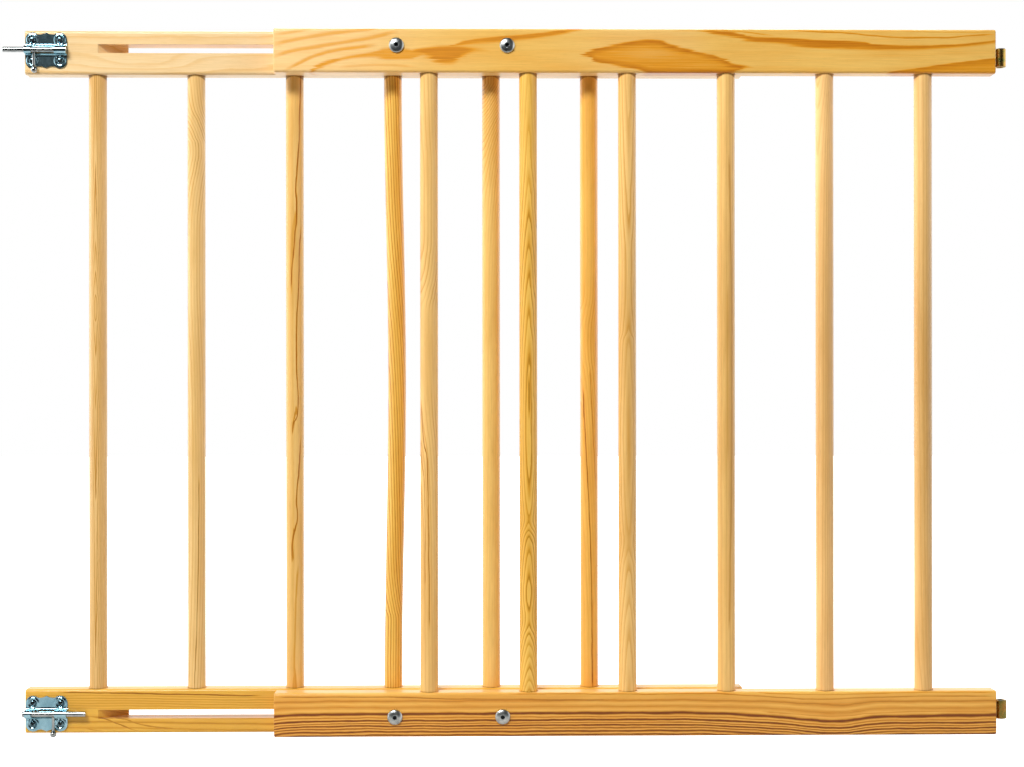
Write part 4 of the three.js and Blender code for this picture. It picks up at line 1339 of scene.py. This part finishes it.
def make_world():
    """White all round to the eye; to the gate, bright behind and beside, dim in front and above."""
    world = bpy.data.worlds.new("studio")
    world.use_nodes = True
    bpy.context.scene.world = world
    tree = world.node_tree
    tree.nodes.clear()
    output = tree.nodes.new("ShaderNodeOutputWorld")
    seen = tree.nodes.new("ShaderNodeBackground")
    seen.inputs["Color"].default_value = (1, 1, 1, 1)
    seen.inputs["Strength"].default_value = 1.0
    lit = tree.nodes.new("ShaderNodeBackground")
    coords = tree.nodes.new("ShaderNodeTexCoord")
    split = tree.nodes.new("ShaderNodeSeparateXYZ")
    tree.links.new(coords.outputs["Generated"], split.inputs[0])
    totals = []
    for axis, stops in (
        ("Y", ((0.12, 0.03), (0.34, 0.06), (0.50, 0.22), (0.62, 0.8), (0.85, 1.3))),
        ("X", ((0.0, 1.7), (0.07, 1.1), (0.16, 0.0), (0.82, 0.0), (0.92, 0.9), (1.0, 1.8))),
        ("Z", ((0.0, 1.0), (0.62, 1.0), (0.80, 0.22), (1.0, 0.15))),
    ):
        unit = tree.nodes.new("ShaderNodeMapRange")
        unit.inputs["From Min"].default_value = -1
        unit.inputs["From Max"].default_value = 1
        tree.links.new(split.outputs[axis], unit.inputs["Value"])
        ramp = tree.nodes.new("ShaderNodeValToRGB")
        tree.links.new(unit.outputs["Result"], ramp.inputs[0])
        elements = ramp.color_ramp.elements
        elements[0].position, elements[0].color = stops[0][0], (*grey(stops[0][1]), 1)
        elements[1].position, elements[1].color = stops[-1][0], (*grey(stops[-1][1]), 1)
        for place, level in stops[1:-1]:
            elements.new(place).color = (*grey(level), 1)
        totals.append(ramp.outputs["Color"])
    total = tree.nodes.new("ShaderNodeVectorMath")
    total.operation = "MULTIPLY_ADD"
    tree.links.new(totals[0], total.inputs[0])
    tree.links.new(totals[2], total.inputs[1])
    tree.links.new(totals[1], total.inputs[2])
    tree.links.new(total.outputs[0], lit.inputs["Color"])
    paths = tree.nodes.new("ShaderNodeLightPath")
    choose = tree.nodes.new("ShaderNodeMixShader")
    tree.links.new(paths.outputs["Is Camera Ray"], choose.inputs[0])
    tree.links.new(lit.outputs[0], choose.inputs[1])
    tree.links.new(seen.outputs[0], choose.inputs[2])
    tree.links.new(choose.outputs[0], output.inputs[0])


def make_floor():
    """A pale floor that glows, more strongly further back and always to the camera, so that it meets the white
    background unseen.
    """
    low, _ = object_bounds()
    half = 8.0
    z = low.z - 0.028
    bm = bmesh.new()
    corners = [(-half, FLOOR_FRONT), (half, FLOOR_FRONT), (half, half), (-half, half)]
    bm.faces.new([bm.verts.new((x, y, z)) for x, y in corners])
    floor = from_bmesh("floor", bm)
    if floor.data.polygons[0].normal.z < 0:
        floor.data.flip_normals()
    graph = Graph("pale_floor")
    speckle = graph.noise(graph.place, scale=4.0, detail=2.0)
    graph.set(graph.shader.inputs["Base Color"],
              graph.mix(speckle, (0.62, 0.62, 0.62), (0.66, 0.66, 0.66)))
    graph.shader.inputs["Roughness"].default_value = 0.9
    graph.shader.inputs["Specular IOR Level"].default_value = 0.0
    graph.shader.inputs["Emission Color"].default_value = (1, 1, 1, 1)
    paths = graph.tree.nodes.new("ShaderNodeLightPath")
    back = graph.remap(graph.split(graph.place)[1], 0.2, 1.0, 0.0, 0.9)
    seen = graph.times(paths.outputs["Is Camera Ray"], 0.85)
    graph.set(graph.shader.inputs["Emission Strength"], graph.add(back, seen))
    floor.data.materials.append(graph.material)


def make_light():
    """A key softbox high at the front left, a tall one at the left and one behind."""
    low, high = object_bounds()
    target = (low + high) / 2
    area_light("key", target + Vector((-0.95, -1.65, 1.60)), target, (1.1, 0.5), 57)
    area_light("side", target + Vector((-2.3, 0.3, 0.3)), target, (0.7, 1.4), 8)
    area_light("back", target + Vector((0.1, 1.1, 1.7)), target, (1.6, 0.8), 28)


# ---------- assembly ----------

def make_gate():
    for side in ("hinge", "latch"):
        for row in ("top", "bottom"):
            node = f"{side}_{row}_rail"
            colours, figure = RAIL_FIGURES[node]
            make_rail(node, side, pine(node + "_pine", node, "x", colours, figure))
        for i, node in enumerate(bar_nodes(side)):
            colours, figure = BAR_FIGURES[node]
            make_bar(node, side, pine(node + "_pine", node, "z", colours, figure), figure["seed"])
    zinc = zinc_plate("zinc_plate")
    steel = polished_steel("plated_steel")
    yellow = yellow_zinc("yellow_zinc")
    satin = polished_steel("satin_steel", 0.25, 1.4)
    # A darker copy of the plate's zinc: painted shade on the screw heads.
    shaded_zinc = zinc_plate("shaded_zinc", 0.4)
    # Near-black painted shade for the insides of the sockets and screw recesses.
    recess = shadowed_steel("socket_inside")
    turn = 12
    for row in ("top", "bottom"):
        for place in ("outer", "inner"):
            clamp = f"{row}_{place}_clamp"
            make_cap(clamp + "_bolt", True, satin, recess, 2.9 * MM, turn)
            make_cap(clamp + "_nut", False, satin, recess, 4 * MM, turn + 20)
            make_washer(clamp + "_washer", zinc)
            turn += 17
        make_plate(f"{row}_latch_plate", zinc)
        make_rod(f"{row}_latch_rod", steel)
        make_lever(f"{row}_latch_lever", steel)
        for i in range(1, 5):
            make_screw(f"{row}_latch_screw_{i}", shaded_zinc, recess, turn + 23 * i)
    for node in ("upper_hinge_eye", "lower_hinge_eye"):
        make_hinge_eye(node, yellow)


make_camera()
make_gate()
make_world()
make_light()
make_floor()
bpy.context.scene.view_settings.view_transform = "Standard"
